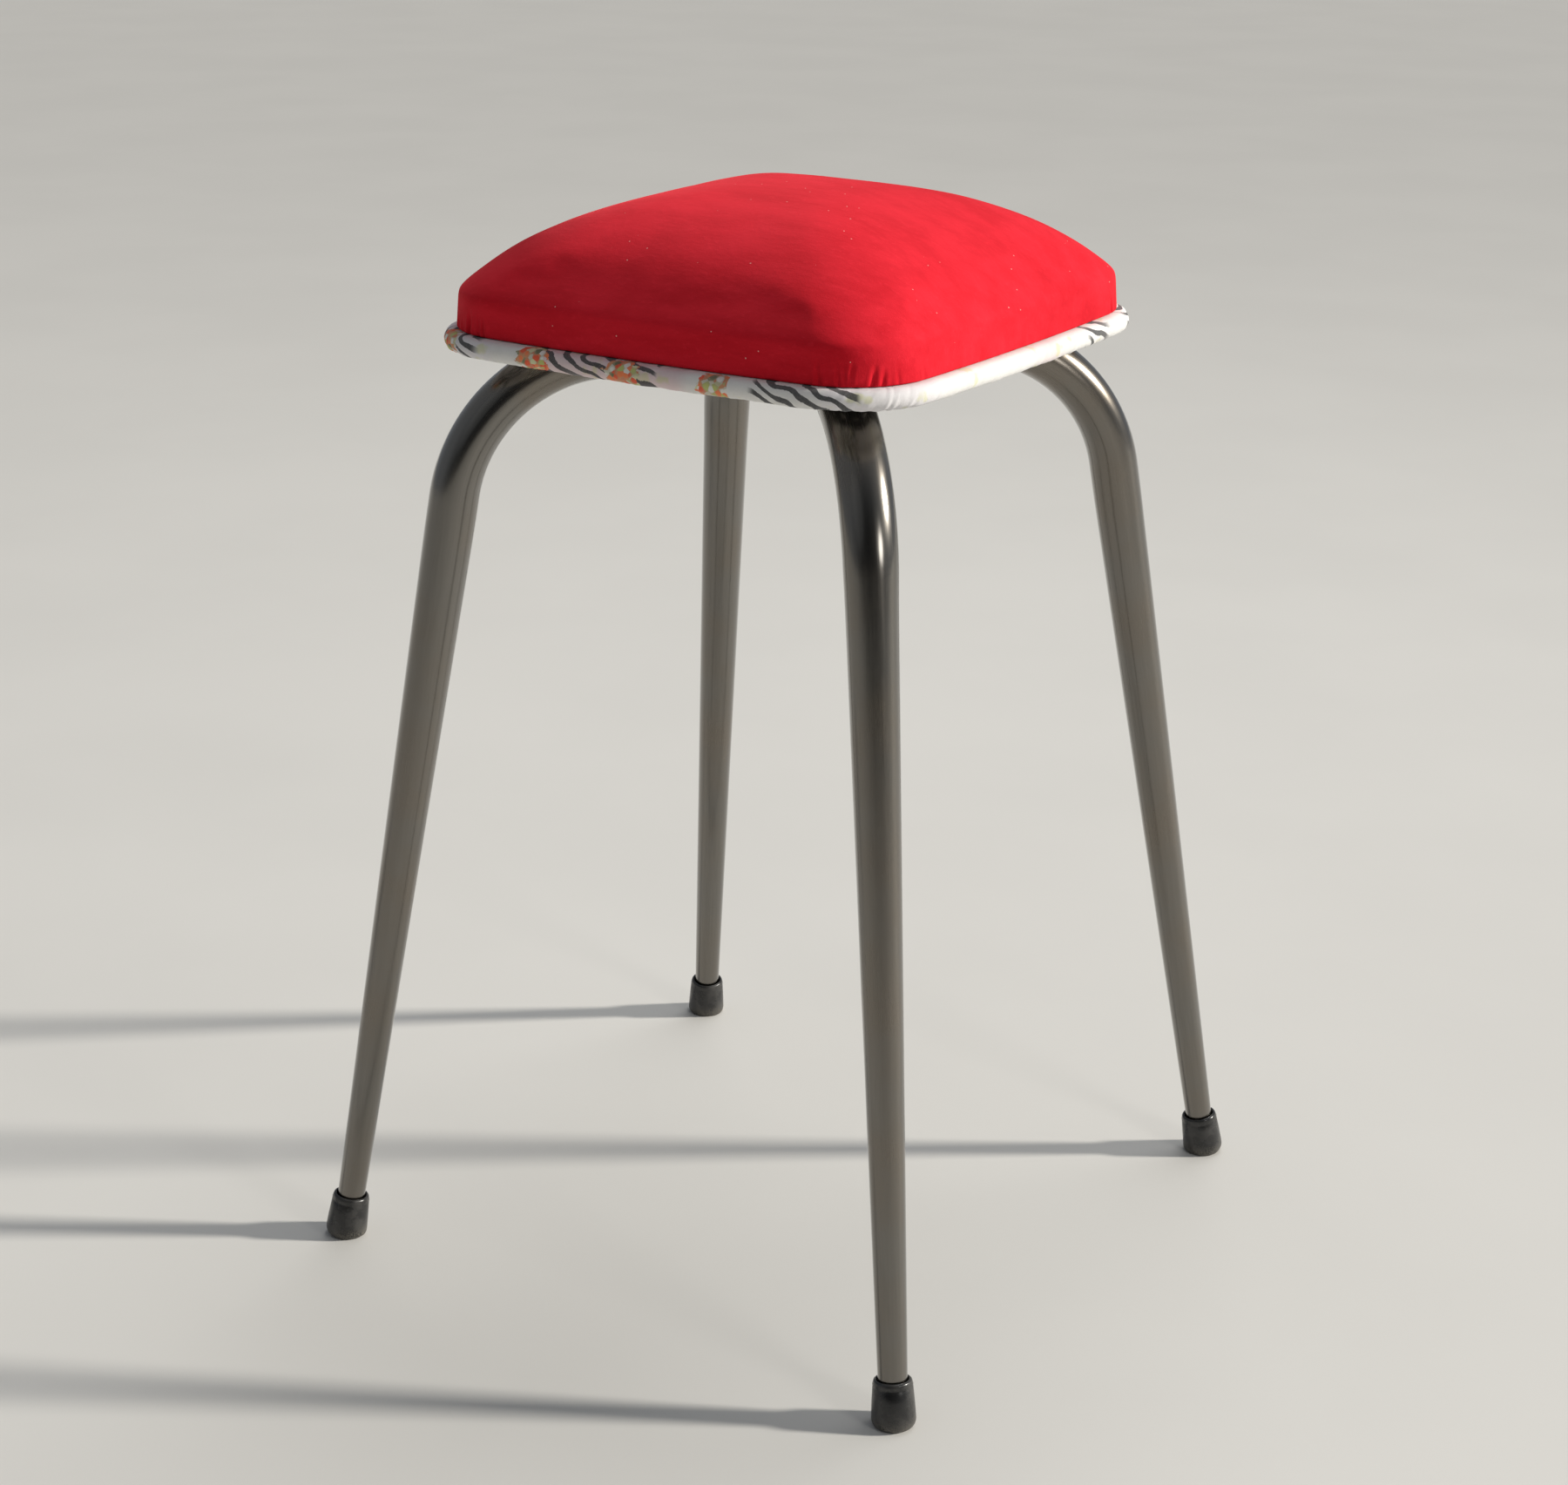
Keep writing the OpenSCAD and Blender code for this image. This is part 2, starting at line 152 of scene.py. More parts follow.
def makeWeave():
    # plain weave in the X and Y of its vector, so many threads to the metre each way
    group, inn, out = newGroup("plainWeave", [("Vector", "Vector", None), ("Threads", "Float", 1600.0)],
                               [("Height", "Float"), ("Thread", "Float")])
    at = put(group, "ShaderNodeSeparateXYZ", {0: vectorCalc(group, "SCALE", inn["Vector"], scale=inn["Threads"])})
    x, y = at.outputs[0], at.outputs[1]
    odd = calc(group, "MODULO", calc(group, "ADD", calc(group, "FLOOR", x), calc(group, "FLOOR", y)), 2.0)
    odd = calc(group, "ABSOLUTE", odd)
    across = calc(group, "SINE", calc(group, "MULTIPLY", calc(group, "FRACT", x), math.pi))
    along = calc(group, "SINE", calc(group, "MULTIPLY", calc(group, "FRACT", y), math.pi))
    under = 0.45
    first = calc(group, "MULTIPLY", across, calc(group, "MULTIPLY_ADD", odd, 1 - under, under))
    second = calc(group, "MULTIPLY", along, calc(group, "MULTIPLY_ADD", odd, under - 1, 1.0))
    group.links.new(calc(group, "MAXIMUM", first, second), out["Height"])
    shade = put(group, "ShaderNodeTexWhiteNoise", {"Vector": vectorCalc(group, "FLOOR", vectorCalc(
        group, "SCALE", inn["Vector"], scale=inn["Threads"]))}, noise_dimensions="2D")
    group.links.new(shade.outputs[0], out["Thread"])
    return group


patches, grain, specks, weave = makePatches(), makeGrain(), makeSpecks(), makeWeave()


def newMaterial(name, viewport):
    material = bpy.data.materials.new(name)
    material.use_nodes = True
    material.diffuse_color = (*viewport, 1)
    tree = material.node_tree
    shader = tree.nodes["Principled BSDF"]
    where = put(tree, "ShaderNodeTexCoord").outputs["Object"]
    return material, tree, shader, where


def setBump(tree, shader, height, depth, strength=1.0):
    made = put(tree, "ShaderNodeBump", {"Height": height, "Distance": depth, "Strength": strength})
    tree.links.new(made.outputs[0], shader.inputs["Normal"])


def scaled(tree, value, by, add=0.0):
    return calc(tree, "MULTIPLY_ADD", value, by, add)


# finishes

def steelFinish(name, look, attribute=None):
    # bare or plated steel: streaks from drawing or rolling, cloudy tarnish, fine pits
    material, tree, shader, where = newMaterial(name, look["light"])
    if attribute:
        where = put(tree, "ShaderNodeAttribute", attribute_name=attribute).outputs["Vector"]
    streaks = useGroup(tree, grain, Vector=where, Stretch=look["stretch"], Scale=look["grain"])["Mask"]
    clouds = useGroup(tree, patches, Vector=where, Scale=look["clouds"], Detail=4.0, Low=0.38, High=0.66)["Mask"]
    pits = useGroup(tree, specks, Vector=where, Scale=look["pits"], Size=0.09, Share=0.3)["Mask"]
    steel = mixed(tree, remap(tree, streaks, 0.3, 0.7), look["dark"], look["light"])
    steel = mixed(tree, scaled(tree, clouds, look["tarnish"]), steel, look["tint"])
    steel = mixed(tree, scaled(tree, pits, 0.5), steel, look["pit"])
    tree.links.new(steel, shader.inputs["Base Color"])
    rough = calc(tree, "ADD", remap(tree, streaks, 0.25, 0.75, look["smooth"], look["rough"], False),
                 scaled(tree, clouds, 0.05))
    tree.links.new(rough, shader.inputs["Roughness"])
    shader.inputs["Metallic"].default_value = 1.0
    if look.get("lacquer"):
        shader.inputs["Coat Weight"].default_value = look["lacquer"]
        shader.inputs["Coat Roughness"].default_value = 0.16
    height = calc(tree, "SUBTRACT", streaks, scaled(tree, pits, 0.8))
    setBump(tree, shader, height, look["relief"], 0.6)
    return material


legLook = {
    "light": (0.165, 0.154, 0.136), "dark": (0.142, 0.132, 0.116), "tint": (0.165, 0.130, 0.092),
    "pit": (0.09, 0.075, 0.06), "stretch": (1.0, 1.0, 0.012), "grain": 1700.0, "clouds": 16.0, "pits": 260.0,
    "tarnish": 0.45, "smooth": 0.2, "rough": 0.25, "lacquer": 1.0, "relief": 0.000006,
}
plateLook = dict(legLook, stretch=(0.05, 1.0, 1.0), tarnish=0.6, lacquer=0.15, smooth=0.3, rough=0.5)
weldLook = dict(legLook, light=(0.34, 0.31, 0.28), dark=(0.13, 0.12, 0.12), tint=(0.20, 0.13, 0.09),
                stretch=(1.0, 1.0, 1.0), grain=500.0, clouds=120.0, tarnish=0.8, smooth=0.32, rough=0.6, lacquer=0.0,
                relief=0.0001)
zincLook = dict(legLook, light=(0.72, 0.71, 0.68), dark=(0.50, 0.50, 0.48), tint=(0.60, 0.54, 0.40),
                pit=(0.3, 0.29, 0.27), stretch=(1.0, 1.0, 1.0), grain=900.0, clouds=160.0, pits=900.0, tarnish=0.35,
                smooth=0.22, rough=0.42, lacquer=0.0, relief=0.00002)
legSteel = steelFinish("satinLegSteel", legLook, "tubeSpace")
plateSteel = steelFinish("rolledPlateSteel", plateLook)
weldSteel = steelFinish("weldBeadSteel", weldLook)
zincSteel = steelFinish("brightZinc", zincLook)


def rubberFinish():
    look = {"dark": (0.012, 0.012, 0.012), "worn": (0.05, 0.048, 0.045), "dust": (0.22, 0.20, 0.16)}
    material, tree, shader, where = newMaterial("mouldedRubber", look["dark"])
    clouds = useGroup(tree, patches, Vector=where, Scale=90.0, Detail=5.0, Low=0.35, High=0.7)["Mask"]
    fine = useGroup(tree, grain, Vector=where, Stretch=(1.0, 1.0, 1.0), Scale=1500.0)["Mask"]
    height = put(tree, "ShaderNodeSeparateXYZ", {0: where}).outputs[2]
    nearFloor = remap(tree, height, 0.009, 0.0, 0.0, 1.0)  # scuffed and dusty towards the floor
    colour = mixed(tree, clouds, look["dark"], look["worn"])
    dusty = calc(tree, "MULTIPLY", nearFloor, remap(tree, fine, 0.4, 0.62))
    colour = mixed(tree, scaled(tree, dusty, 0.55), colour, look["dust"])
    tree.links.new(colour, shader.inputs["Base Color"])
    tree.links.new(calc(tree, "ADD", remap(tree, clouds, 0, 1, 0.24, 0.36), scaled(tree, dusty, 0.35)),
                   shader.inputs["Roughness"])
    setBump(tree, shader, fine, 0.00006, 0.5)
    return material


def velvetFinish():
    # short pile: nap laid this way and that, fine fibre noise, a red sheen and a little lint
    look = {
        "deep": (0.55, 0.0045, 0.014), "bright": (0.76, 0.0105, 0.027), "rubbed": (0.86, 0.024, 0.046),
        "lint": (0.85, 0.42, 0.38), "sheen": (1.0, 0.10, 0.12),
    }
    material, tree, shader, where = newMaterial("shortPileVelvet", look["bright"])
    nap = useGroup(tree, grain, Vector=where, Stretch=(0.35, 1.0, 1.3), Scale=60.0)["Mask"]
    swirl = useGroup(tree, patches, Vector=where, Scale=11.0, Detail=2.0, Low=0.3, High=0.7)["Mask"]
    pile = useGroup(tree, grain, Vector=where, Stretch=(1.0, 1.0, 1.0), Scale=2100.0)["Mask"]
    tufts = useGroup(tree, grain, Vector=where, Stretch=(0.5, 1.0, 1.0), Scale=420.0)["Mask"]
    lint = useGroup(tree, specks, Vector=where, Scale=140.0, Size=0.055, Share=0.32)["Mask"]
    lay = calc(tree, "ADD", scaled(tree, remap(tree, nap, 0.3, 0.7), 0.6), scaled(tree, swirl, 0.4))
    colour = mixed(tree, lay, look["deep"], look["bright"])
    colour = mixed(tree, scaled(tree, remap(tree, tufts, 0.52, 0.75), 0.35), colour, look["rubbed"])
    colour = mixed(tree, scaled(tree, remap(tree, pile, 0.35, 0.65), 0.3), colour, look["deep"])
    colour = mixed(tree, lint, colour, look["lint"])
    tree.links.new(colour, shader.inputs["Base Color"])
    tree.links.new(remap(tree, lay, 0, 1, 0.95, 0.78, False), shader.inputs["Roughness"])
    shader.inputs["Specular IOR Level"].default_value = 0.18
    shader.inputs["Sheen Weight"].default_value = 0.35
    shader.inputs["Sheen Roughness"].default_value = 0.42
    shader.inputs["Sheen Tint"].default_value = (*look["sheen"], 1)
    height = calc(tree, "ADD", scaled(tree, pile, 0.5), calc(tree, "ADD", scaled(tree, tufts, 0.8), lint))
    setBump(tree, shader, height, 0.00035, 0.55)
    return material


def printedCottonFinish():
    # white cotton with dry-brush charcoal strokes, small orange and green flower clusters and pink washes
    look = {
        "ground": (0.80, 0.79, 0.76), "charcoal": (0.022, 0.024, 0.028), "pink": (0.74, 0.47, 0.50),
        "lilac": (0.62, 0.56, 0.68), "lime": (0.62, 0.62, 0.26), "shade": (0.55, 0.53, 0.50),
        "repeat": 11.57, "busyAt": 0.725, "flowerGap": 0.06, "flowerShift": -0.37,
        "flowerLevel": 0.034, "flowerReach": 0.0105,
    }
    material, tree, shader, where = newMaterial("printedCotton", look["ground"])
    flat = put(tree, "ShaderNodeUVMap", uv_map="clothMap").outputs[0]
    at = put(tree, "ShaderNodeSeparateXYZ", {0: flat})
    u, v = at.outputs[0], at.outputs[1]
    # strokes: warped bands, only in some stretches, with broken edges
    bend = put(tree, "ShaderNodeTexNoise", {"Vector": flat, "Scale": 46.0, "Detail": 1.0})
    sway = put(tree, "ShaderNodeSeparateColor", {0: bend.outputs["Color"]})
    phase = calc(tree, "ADD", scaled(tree, u, 165.0), scaled(tree, v, 120.0))
    phase = calc(tree, "ADD", phase, scaled(tree, sway.outputs[0], 5.2))
    phase = calc(tree, "ADD", phase, calc(tree, "SINE", scaled(tree, v, 210.0)))
    band = calc(tree, "SINE", scaled(tree, phase, 2.6))
    dry = put(tree, "ShaderNodeTexNoise", {"Vector": vectorCalc(tree, "MULTIPLY", flat, (1.0, 0.35, 1.0)),
                                            "Scale": 820.0, "Detail": 3.0})
    band = calc(tree, "ADD", band, scaled(tree, dry.outputs[0], 0.9, -0.45))
    stroke = remap(tree, band, 0.12, 0.34)
    stretch = put(tree, "ShaderNodeTexNoise", {"W": scaled(tree, u, 16.0, 4.3), "Scale": 1.0, "Detail": 0.0},
                  noise_dimensions="1D").outputs[0]
    # the busy part of the print comes round twice in the strip's length
    busy = calc(tree, "COSINE", scaled(tree, u, look["repeat"], -look["repeat"] * look["busyAt"]))
    stretch = calc(tree, "ADD", stretch, scaled(tree, busy, 0.16))
    stroke = calc(tree, "MULTIPLY", stroke, remap(tree, stretch, 0.50, 0.56))
    # flower clusters at fairly even spacings along the strip, each a knot of petals and leaves
    knots = put(tree, "ShaderNodeTexVoronoi", {"W": scaled(tree, u, 1 / look["flowerGap"], look["flowerShift"]),
                                               "Scale": 1.0, "Randomness": 0.12}, voronoi_dimensions="1D")
    ragged = put(tree, "ShaderNodeTexNoise", {"Vector": flat, "Scale": 300.0, "Detail": 2.0}).outputs[0]
    aside = scaled(tree, knots.outputs["Distance"], look["flowerGap"])
    above = scaled(tree, v, 0.85, -0.85 * look["flowerLevel"])
    reach = calc(tree, "SQRT", calc(tree, "ADD", calc(tree, "MULTIPLY", aside, aside),
                                    calc(tree, "MULTIPLY", above, above)))
    reach = calc(tree, "ADD", reach, scaled(tree, ragged, 0.012, -0.006))
    cluster = calc(tree, "LESS_THAN", reach, look["flowerReach"])
    cluster = calc(tree, "MULTIPLY", cluster, calc(tree, "GREATER_THAN", busy, 0.35))
    petals = put(tree, "ShaderNodeTexVoronoi", {"Vector": flat, "Scale": 290.0})
    pick = put(tree, "ShaderNodeSeparateColor", {0: petals.outputs["Color"]}).outputs[1]
    petal = ramp(tree, pick, [(0.0, (0.82, 0.10, 0.03)), (0.34, (0.88, 0.22, 0.07)), (0.50, (0.52, 0.55, 0.16)),
                              (0.63, (0.70, 0.69, 0.42)), (0.75, (0.16, 0.17, 0.08)), (0.79, (0.82, 0.80, 0.74))],
                 "CONSTANT")
    gap = remap(tree, petals.outputs["Distance"], 0.42, 0.62)
    petal = mixed(tree, scaled(tree, gap, 0.5), petal, (0.42, 0.38, 0.22, 1))
    washes = put(tree, "ShaderNodeTexNoise", {"W": scaled(tree, u, 6.5, 9.1), "Scale": 1.0, "Detail": 1.0},
                 noise_dimensions="1D").outputs[0]
    colour = mixed(tree, scaled(tree, remap(tree, washes, 0.54, 0.64), 0.55), look["ground"], look["pink"])
    colour = mixed(tree, scaled(tree, remap(tree, washes, 0.40, 0.34), 0.25), colour, look["lilac"])
    tinge = useGroup(tree, patches, Vector=flat, Scale=75.0, Detail=2.0, Low=0.6, High=0.68)["Mask"]
    colour = mixed(tree, scaled(tree, tinge, 0.5), colour, look["lime"])
    colour = mixed(tree, scaled(tree, stroke, 0.93), colour, look["charcoal"])
    colour = mixed(tree, cluster, colour, petal)
    threads = useGroup(tree, weave, Vector=flat, Threads=2100.0)
    colour = mixed(tree, scaled(tree, threads["Thread"], 0.10), colour, look["shade"])
    grime = useGroup(tree, patches, Vector=where, Scale=38.0, Detail=5.0, Low=0.5, High=0.8)["Mask"]
    colour = mixed(tree, scaled(tree, grime, 0.18), colour, look["shade"])
    tree.links.new(colour, shader.inputs["Base Color"])
    tree.links.new(remap(tree, threads["Height"], 0, 1, 0.92, 0.8, False), shader.inputs["Roughness"])
    shader.inputs["Specular IOR Level"].default_value = 0.25
    shader.inputs["Sheen Weight"].default_value = 0.15
    slub = useGroup(tree, grain, Vector=flat, Stretch=(1.0, 0.2, 1.0), Scale=900.0)["Mask"]
    setBump(tree, shader, calc(tree, "ADD", threads["Height"], slub), 0.00012, 0.6)
    return material


def clothFinish(name, look):
    # plain, felted or bonded cloth: a weave or a mat of fibres, clouded and flecked; in the foam the darker flecks
    # are painted shade in its sunk pores
    material, tree, shader, where = newMaterial(name, look["light"])
    clouds = useGroup(tree, patches, Vector=where, Scale=look["clouds"], Detail=4.0, Low=0.35, High=0.68)["Mask"]
    mat = useGroup(tree, grain, Vector=where, Stretch=look["stretch"], Scale=look["fibre"])["Mask"]
    threads = useGroup(tree, weave, Vector=where, Threads=look["threads"])["Height"]
    flecksAndPores = useGroup(tree, specks, Vector=where, Scale=look["flecksAndPores"], Size=0.2, Share=0.5)["Mask"]
    colour = mixed(tree, clouds, look["dark"], look["light"])
    colour = mixed(tree, scaled(tree, remap(tree, mat, 0.35, 0.65), 0.35), colour, look["light"])
    # the flecks take their own colour: light or dark specks in the cloths, painted shade in the foam's sunk pores
    colour = mixed(tree, scaled(tree, flecksAndPores, look["fleckAndPoreShadeShare"]), colour, look["fleckAndPoreShade"])
    tree.links.new(colour, shader.inputs["Base Color"])
    tree.links.new(remap(tree, mat, 0.3, 0.7, 0.95, 0.82, False), shader.inputs["Roughness"])
    shader.inputs["Specular IOR Level"].default_value = 0.2
    height = calc(tree, "ADD", scaled(tree, mat, 1 - look["woven"]), scaled(tree, threads, look["woven"]))
    height = calc(tree, "SUBTRACT", height, scaled(tree, flecksAndPores, look["holes"]))
    setBump(tree, shader, height, look["relief"], 0.8)
    return material


clothLooks = {
    "dust": {"light": (0.034, 0.034, 0.036), "dark": (0.016, 0.016, 0.017), "fleckAndPoreShade": (0.12, 0.12, 0.12),
             "clouds": 60.0, "stretch": (1.0, 1.0, 1.0), "fibre": 900.0, "threads": 900.0, "flecksAndPores": 700.0,
             "fleckAndPoreShadeShare": 0.4, "woven": 0.4, "holes": 0.2, "relief": 0.00015},
    # foam: the darker flecks sit in the pits that the holes sink, so their colour is painted shade
    "foam": {"light": (0.84, 0.76, 0.50), "dark": (0.72, 0.60, 0.34), "fleckAndPoreShade": (0.48, 0.38, 0.18),
             "clouds": 30.0, "stretch": (1.0, 1.0, 1.0), "fibre": 1200.0, "threads": 600.0, "flecksAndPores": 1100.0,
             "fleckAndPoreShadeShare": 0.7, "woven": 0.0, "holes": 1.0, "relief": 0.0004},
    "wadding": {"light": (0.88, 0.88, 0.86), "dark": (0.74, 0.74, 0.73), "fleckAndPoreShade": (0.95, 0.95, 0.94),
                "clouds": 70.0, "stretch": (0.25, 1.0, 0.6), "fibre": 800.0, "threads": 500.0, "flecksAndPores": 500.0,
                "fleckAndPoreShadeShare": 0.3, "woven": 0.0, "holes": 0.3, "relief": 0.0006},
    "cord": {"light": (0.82, 0.78, 0.69), "dark": (0.64, 0.59, 0.49), "fleckAndPoreShade": (0.45, 0.38, 0.28),
             "clouds": 90.0, "stretch": (1.0, 1.0, 0.3), "fibre": 1600.0, "threads": 2000.0, "flecksAndPores": 400.0,
             "fleckAndPoreShadeShare": 0.25, "woven": 0.3, "holes": 0.0, "relief": 0.0002},
}


def plywoodFinish():
    look = {"light": (0.64, 0.47, 0.29), "dark": (0.42, 0.27, 0.14), "edge": (0.30, 0.18, 0.09), "ply": 0.0025}
    material, tree, shader, where = newMaterial("rawPlywood", look["light"])
    figure = useGroup(tree, grain, Vector=where, Stretch=(0.07, 1.0, 1.0), Scale=160.0)["Mask"]
    pores = useGroup(tree, grain, Vector=where, Stretch=(0.03, 1.0, 1.0), Scale=1300.0)["Mask"]
    level = put(tree, "ShaderNodeSeparateXYZ", {0: where}).outputs[2]
    ply = calc(tree, "MODULO", calc(tree, "FLOOR", scaled(tree, level, 1 / look["ply"])), 2.0)
    colour = mixed(tree, remap(tree, figure, 0.32, 0.68), look["light"], look["dark"])
    colour = mixed(tree, scaled(tree, ply, 0.35), colour, look["edge"])
    colour = mixed(tree, scaled(tree, remap(tree, pores, 0.55, 0.7), 0.5), colour, look["edge"])
    tree.links.new(colour, shader.inputs["Base Color"])
    tree.links.new(remap(tree, pores, 0.3, 0.7, 0.55, 0.8, False), shader.inputs["Roughness"])
    setBump(tree, shader, pores, 0.0002, 0.7)
    return material


rubber, velvet, printed = rubberFinish(), velvetFinish(), printedCottonFinish()
dustCloth, foamCell, waddingFibre, cordCotton = (
    clothFinish(name + "Cloth", clothLooks[name]) for name in ("dust", "foam", "wadding", "cord"))
plywood = plywoodFinish()
print("finishes made:", len(bpy.data.materials))


# mesh helpers

def addPiece(name, data, material):
    piece = bpy.data.objects.new(name, data)
    scene.collection.objects.link(piece)
    if material:
        data.materials.clear()
        data.materials.append(material)
    return piece


def meshFrom(name, points, faces, smooth=True):
    mesh = bpy.data.meshes.new(name)
    mesh.from_pydata([tuple(p) for p in points], [], faces)
    mesh.update()
    mesh.polygons.foreach_set("use_smooth", [smooth] * len(mesh.polygons))
    return mesh


def mended(mesh, gap=1e-6):
    # merges doubles and points every face outwards
    work = bmesh.new()
    work.from_mesh(mesh)
    bmesh.ops.remove_doubles(work, verts=work.verts, dist=gap)
    bmesh.ops.recalc_face_normals(work, faces=work.faces)
    work.to_mesh(mesh)
    work.free()
    mesh.update()
    return mesh


def evaluated(piece, name):
    # the piece with its modifiers worked into a plain mesh
    graph = bpy.context.evaluated_depsgraph_get()
    mesh = bpy.data.meshes.new_from_object(piece.evaluated_get(graph), depsgraph=graph)
    mesh.name = name
    return mesh


def drop(piece):
    bpy.data.objects.remove(piece)


def turnedBy(angle):
    return Matrix.Rotation(math.radians(angle), 4, "Z")


def runTree(piece, group, values):
    # puts the tree on the piece, sets its inputs by their identifiers and gives back the plain mesh
    modifier = piece.modifiers.new(group.name, "NODES")
    modifier.node_group = group
    keys = {item.name: item.identifier for item in group.interface.items_tree
            if item.item_type == "SOCKET" and item.in_out == "INPUT"}
    for name, value in values.items():
        modifier[keys[name]] = value
    mesh = evaluated(piece, piece.name)
    piece.modifiers.remove(modifier)
    return mesh


def latheMesh(name, profile, steps):
    # turns a profile of (radius, height) about Z; a radius of 0 closes a pole
    points, faces = [], []
    for r, h in profile:
        for k in range(steps):
            a = 2 * math.pi * k / steps
            points.append((r * math.cos(a), r * math.sin(a), h))
    for i in range(len(profile) - 1):
        for k in range(steps):
            n = (k + 1) % steps
            faces.append((i * steps + k, i * steps + n, (i + 1) * steps + n, (i + 1) * steps + k))
    return mended(meshFrom(name, points, faces))


def arcPoints(centre, radius, start, end, steps):
    return [(centre[0] + radius * math.cos(math.radians(start + (end - start) * i / steps)),
             centre[1] + radius * math.sin(math.radians(start + (end - start) * i / steps)))
            for i in range(steps + 1)]


# legs

plateLow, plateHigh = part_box("mounting_plate")
leg = {
    "topRadius": 0.014, "footRadius": 0.00775, "wall": 0.0015, "bendRadius": 0.092, "endGap": 0.008,
    "tip": 0.0075,          # the tube stands this far up inside the rubber foot
    "bendStart": 0.09913,   # from the middle of the stool to where the bend starts
    "flatten": 0.035,       # how far the bend is squeezed flat
    "flattenFade": 0.03, "step": 0.004, "round": 56,
}
runHeight = plateLow.z - leg["topRadius"]
floorRadius = Vector((0.19, 0.19)).length
bendHeight = runHeight - leg["bendRadius"]
reachOut = floorRadius - leg["bendStart"]
splay = math.acos(leg["bendRadius"] / math.hypot(reachOut, bendHeight)) - math.atan2(bendHeight, reachOut)
slopeTop = bendHeight + leg["bendRadius"] * math.sin(splay)
slopeLength = slopeTop / math.cos(splay)


def legTree():
    tree, inn, out = newGroup("taperedTube", [
        ("Geometry", "Geometry", None), ("Foot Radius", "Float", 0.008), ("Top Radius", "Float", 0.014),
        ("Slope Length", "Float", 0.45), ("Bend Radius", "Float", 0.09), ("Bend Length", "Float", 0.12),
        ("Flatten", "Float", 0.03), ("Fade", "Float", 0.03), ("Step", "Float", 0.004), ("Across", "Vector", None),
        ("Sides", "Int", 48), ("Material", "Material", None)], [("Geometry", "Geometry")], "GeometryNodeTree")
    path = put(tree, "GeometryNodeFilletCurve", {"Curve": inn["Geometry"], "Radius": inn["Bend Radius"], "Count": 48},
               mode="POLY").outputs[0]
    path = put(tree, "GeometryNodeResampleCurve", {"Curve": path, "Length": inn["Step"]}, mode="LENGTH").outputs[0]
    named = {}
    sources = {
        "middle": ("FLOAT_VECTOR", put(tree, "GeometryNodeInputPosition").outputs[0]),
        "heading": ("FLOAT_VECTOR", put(tree, "GeometryNodeInputTangent").outputs[0]),
        "along": ("FLOAT", put(tree, "GeometryNodeSplineParameter").outputs["Length"]),
    }
    for name, (kind, source) in sources.items():
        path = put(tree, "GeometryNodeStoreNamedAttribute", {"Geometry": path, "Name": name, "Value": source},
                   data_type=kind, domain="POINT").outputs[0]
        named[name] = put(tree, "GeometryNodeInputNamedAttribute", {"Name": name}, data_type=kind).outputs[0]
    ring = put(tree, "GeometryNodeCurvePrimitiveCircle", {"Resolution": inn["Sides"], "Radius": 1.0}).outputs[0]
    tube = put(tree, "GeometryNodeCurveToMesh", {"Curve": path, "Profile Curve": ring, "Scale": 1.0}).outputs[0]
    spot = put(tree, "GeometryNodeInputPosition").outputs[0]
    away = vectorCalc(tree, "SUBTRACT", spot, named["middle"])
    sideways = vectorCalc(tree, "DOT_PRODUCT", away, inn["Across"])
    across = vectorCalc(tree, "SCALE", inn["Across"], scale=sideways)
    inPlane = vectorCalc(tree, "SUBTRACT", away, across)
    radius = remap(tree, named["along"], 0.0, inn["Slope Length"], inn["Foot Radius"], inn["Top Radius"], False)
    bendEnd = calc(tree, "ADD", inn["Slope Length"], inn["Bend Length"])
    rise = remap(tree, named["along"], calc(tree, "SUBTRACT", inn["Slope Length"], inn["Fade"]),
                 calc(tree, "ADD", inn["Slope Length"], inn["Fade"]))
    fall = remap(tree, named["along"], calc(tree, "SUBTRACT", bendEnd, inn["Fade"]), bendEnd, 1.0, 0.0)
    squeeze = calc(tree, "MULTIPLY", calc(tree, "MULTIPLY", rise, fall), inn["Flatten"])
    wide = calc(tree, "MULTIPLY", radius, calc(tree, "ADD", squeeze, 1.0))
    thin = calc(tree, "MULTIPLY", radius, calc(tree, "SUBTRACT", 1.0, squeeze))
    place = vectorCalc(tree, "ADD", named["middle"], vectorCalc(tree, "ADD", vectorCalc(
        tree, "SCALE", across, scale=wide), vectorCalc(tree, "SCALE", inPlane, scale=thin)))
    # a space that runs along the tube, for the drawing marks in the steel
    upward = put(tree, "ShaderNodeVectorMath", {0: named["heading"], 1: inn["Across"]},
                 operation="CROSS_PRODUCT").outputs[0]
    tubeSpace = put(tree, "ShaderNodeCombineXYZ", {
        0: calc(tree, "MULTIPLY", sideways, radius),
        1: calc(tree, "MULTIPLY", vectorCalc(tree, "DOT_PRODUCT", away, upward), radius),
        2: named["along"]}).outputs[0]
    tube = put(tree, "GeometryNodeStoreNamedAttribute", {"Geometry": tube, "Name": "tubeSpace", "Value": tubeSpace},
               data_type="FLOAT_VECTOR", domain="POINT").outputs[0]
    tube = put(tree, "GeometryNodeSetPosition", {"Geometry": tube, "Position": place}).outputs[0]
    for name in sources:
        tube = put(tree, "GeometryNodeRemoveAttribute", {"Geometry": tube, "Name": name}).outputs[0]
    tube = put(tree, "GeometryNodeSetShadeSmooth", {"Geometry": tube}).outputs[0]
    tube = put(tree, "GeometryNodeRealizeInstances", {"Geometry": tube}).outputs[0]
    tube = put(tree, "GeometryNodeSetMaterial", {"Geometry": tube, "Material": inn["Material"]}).outputs[0]
    tree.links.new(tube, out["Geometry"])
    return tree


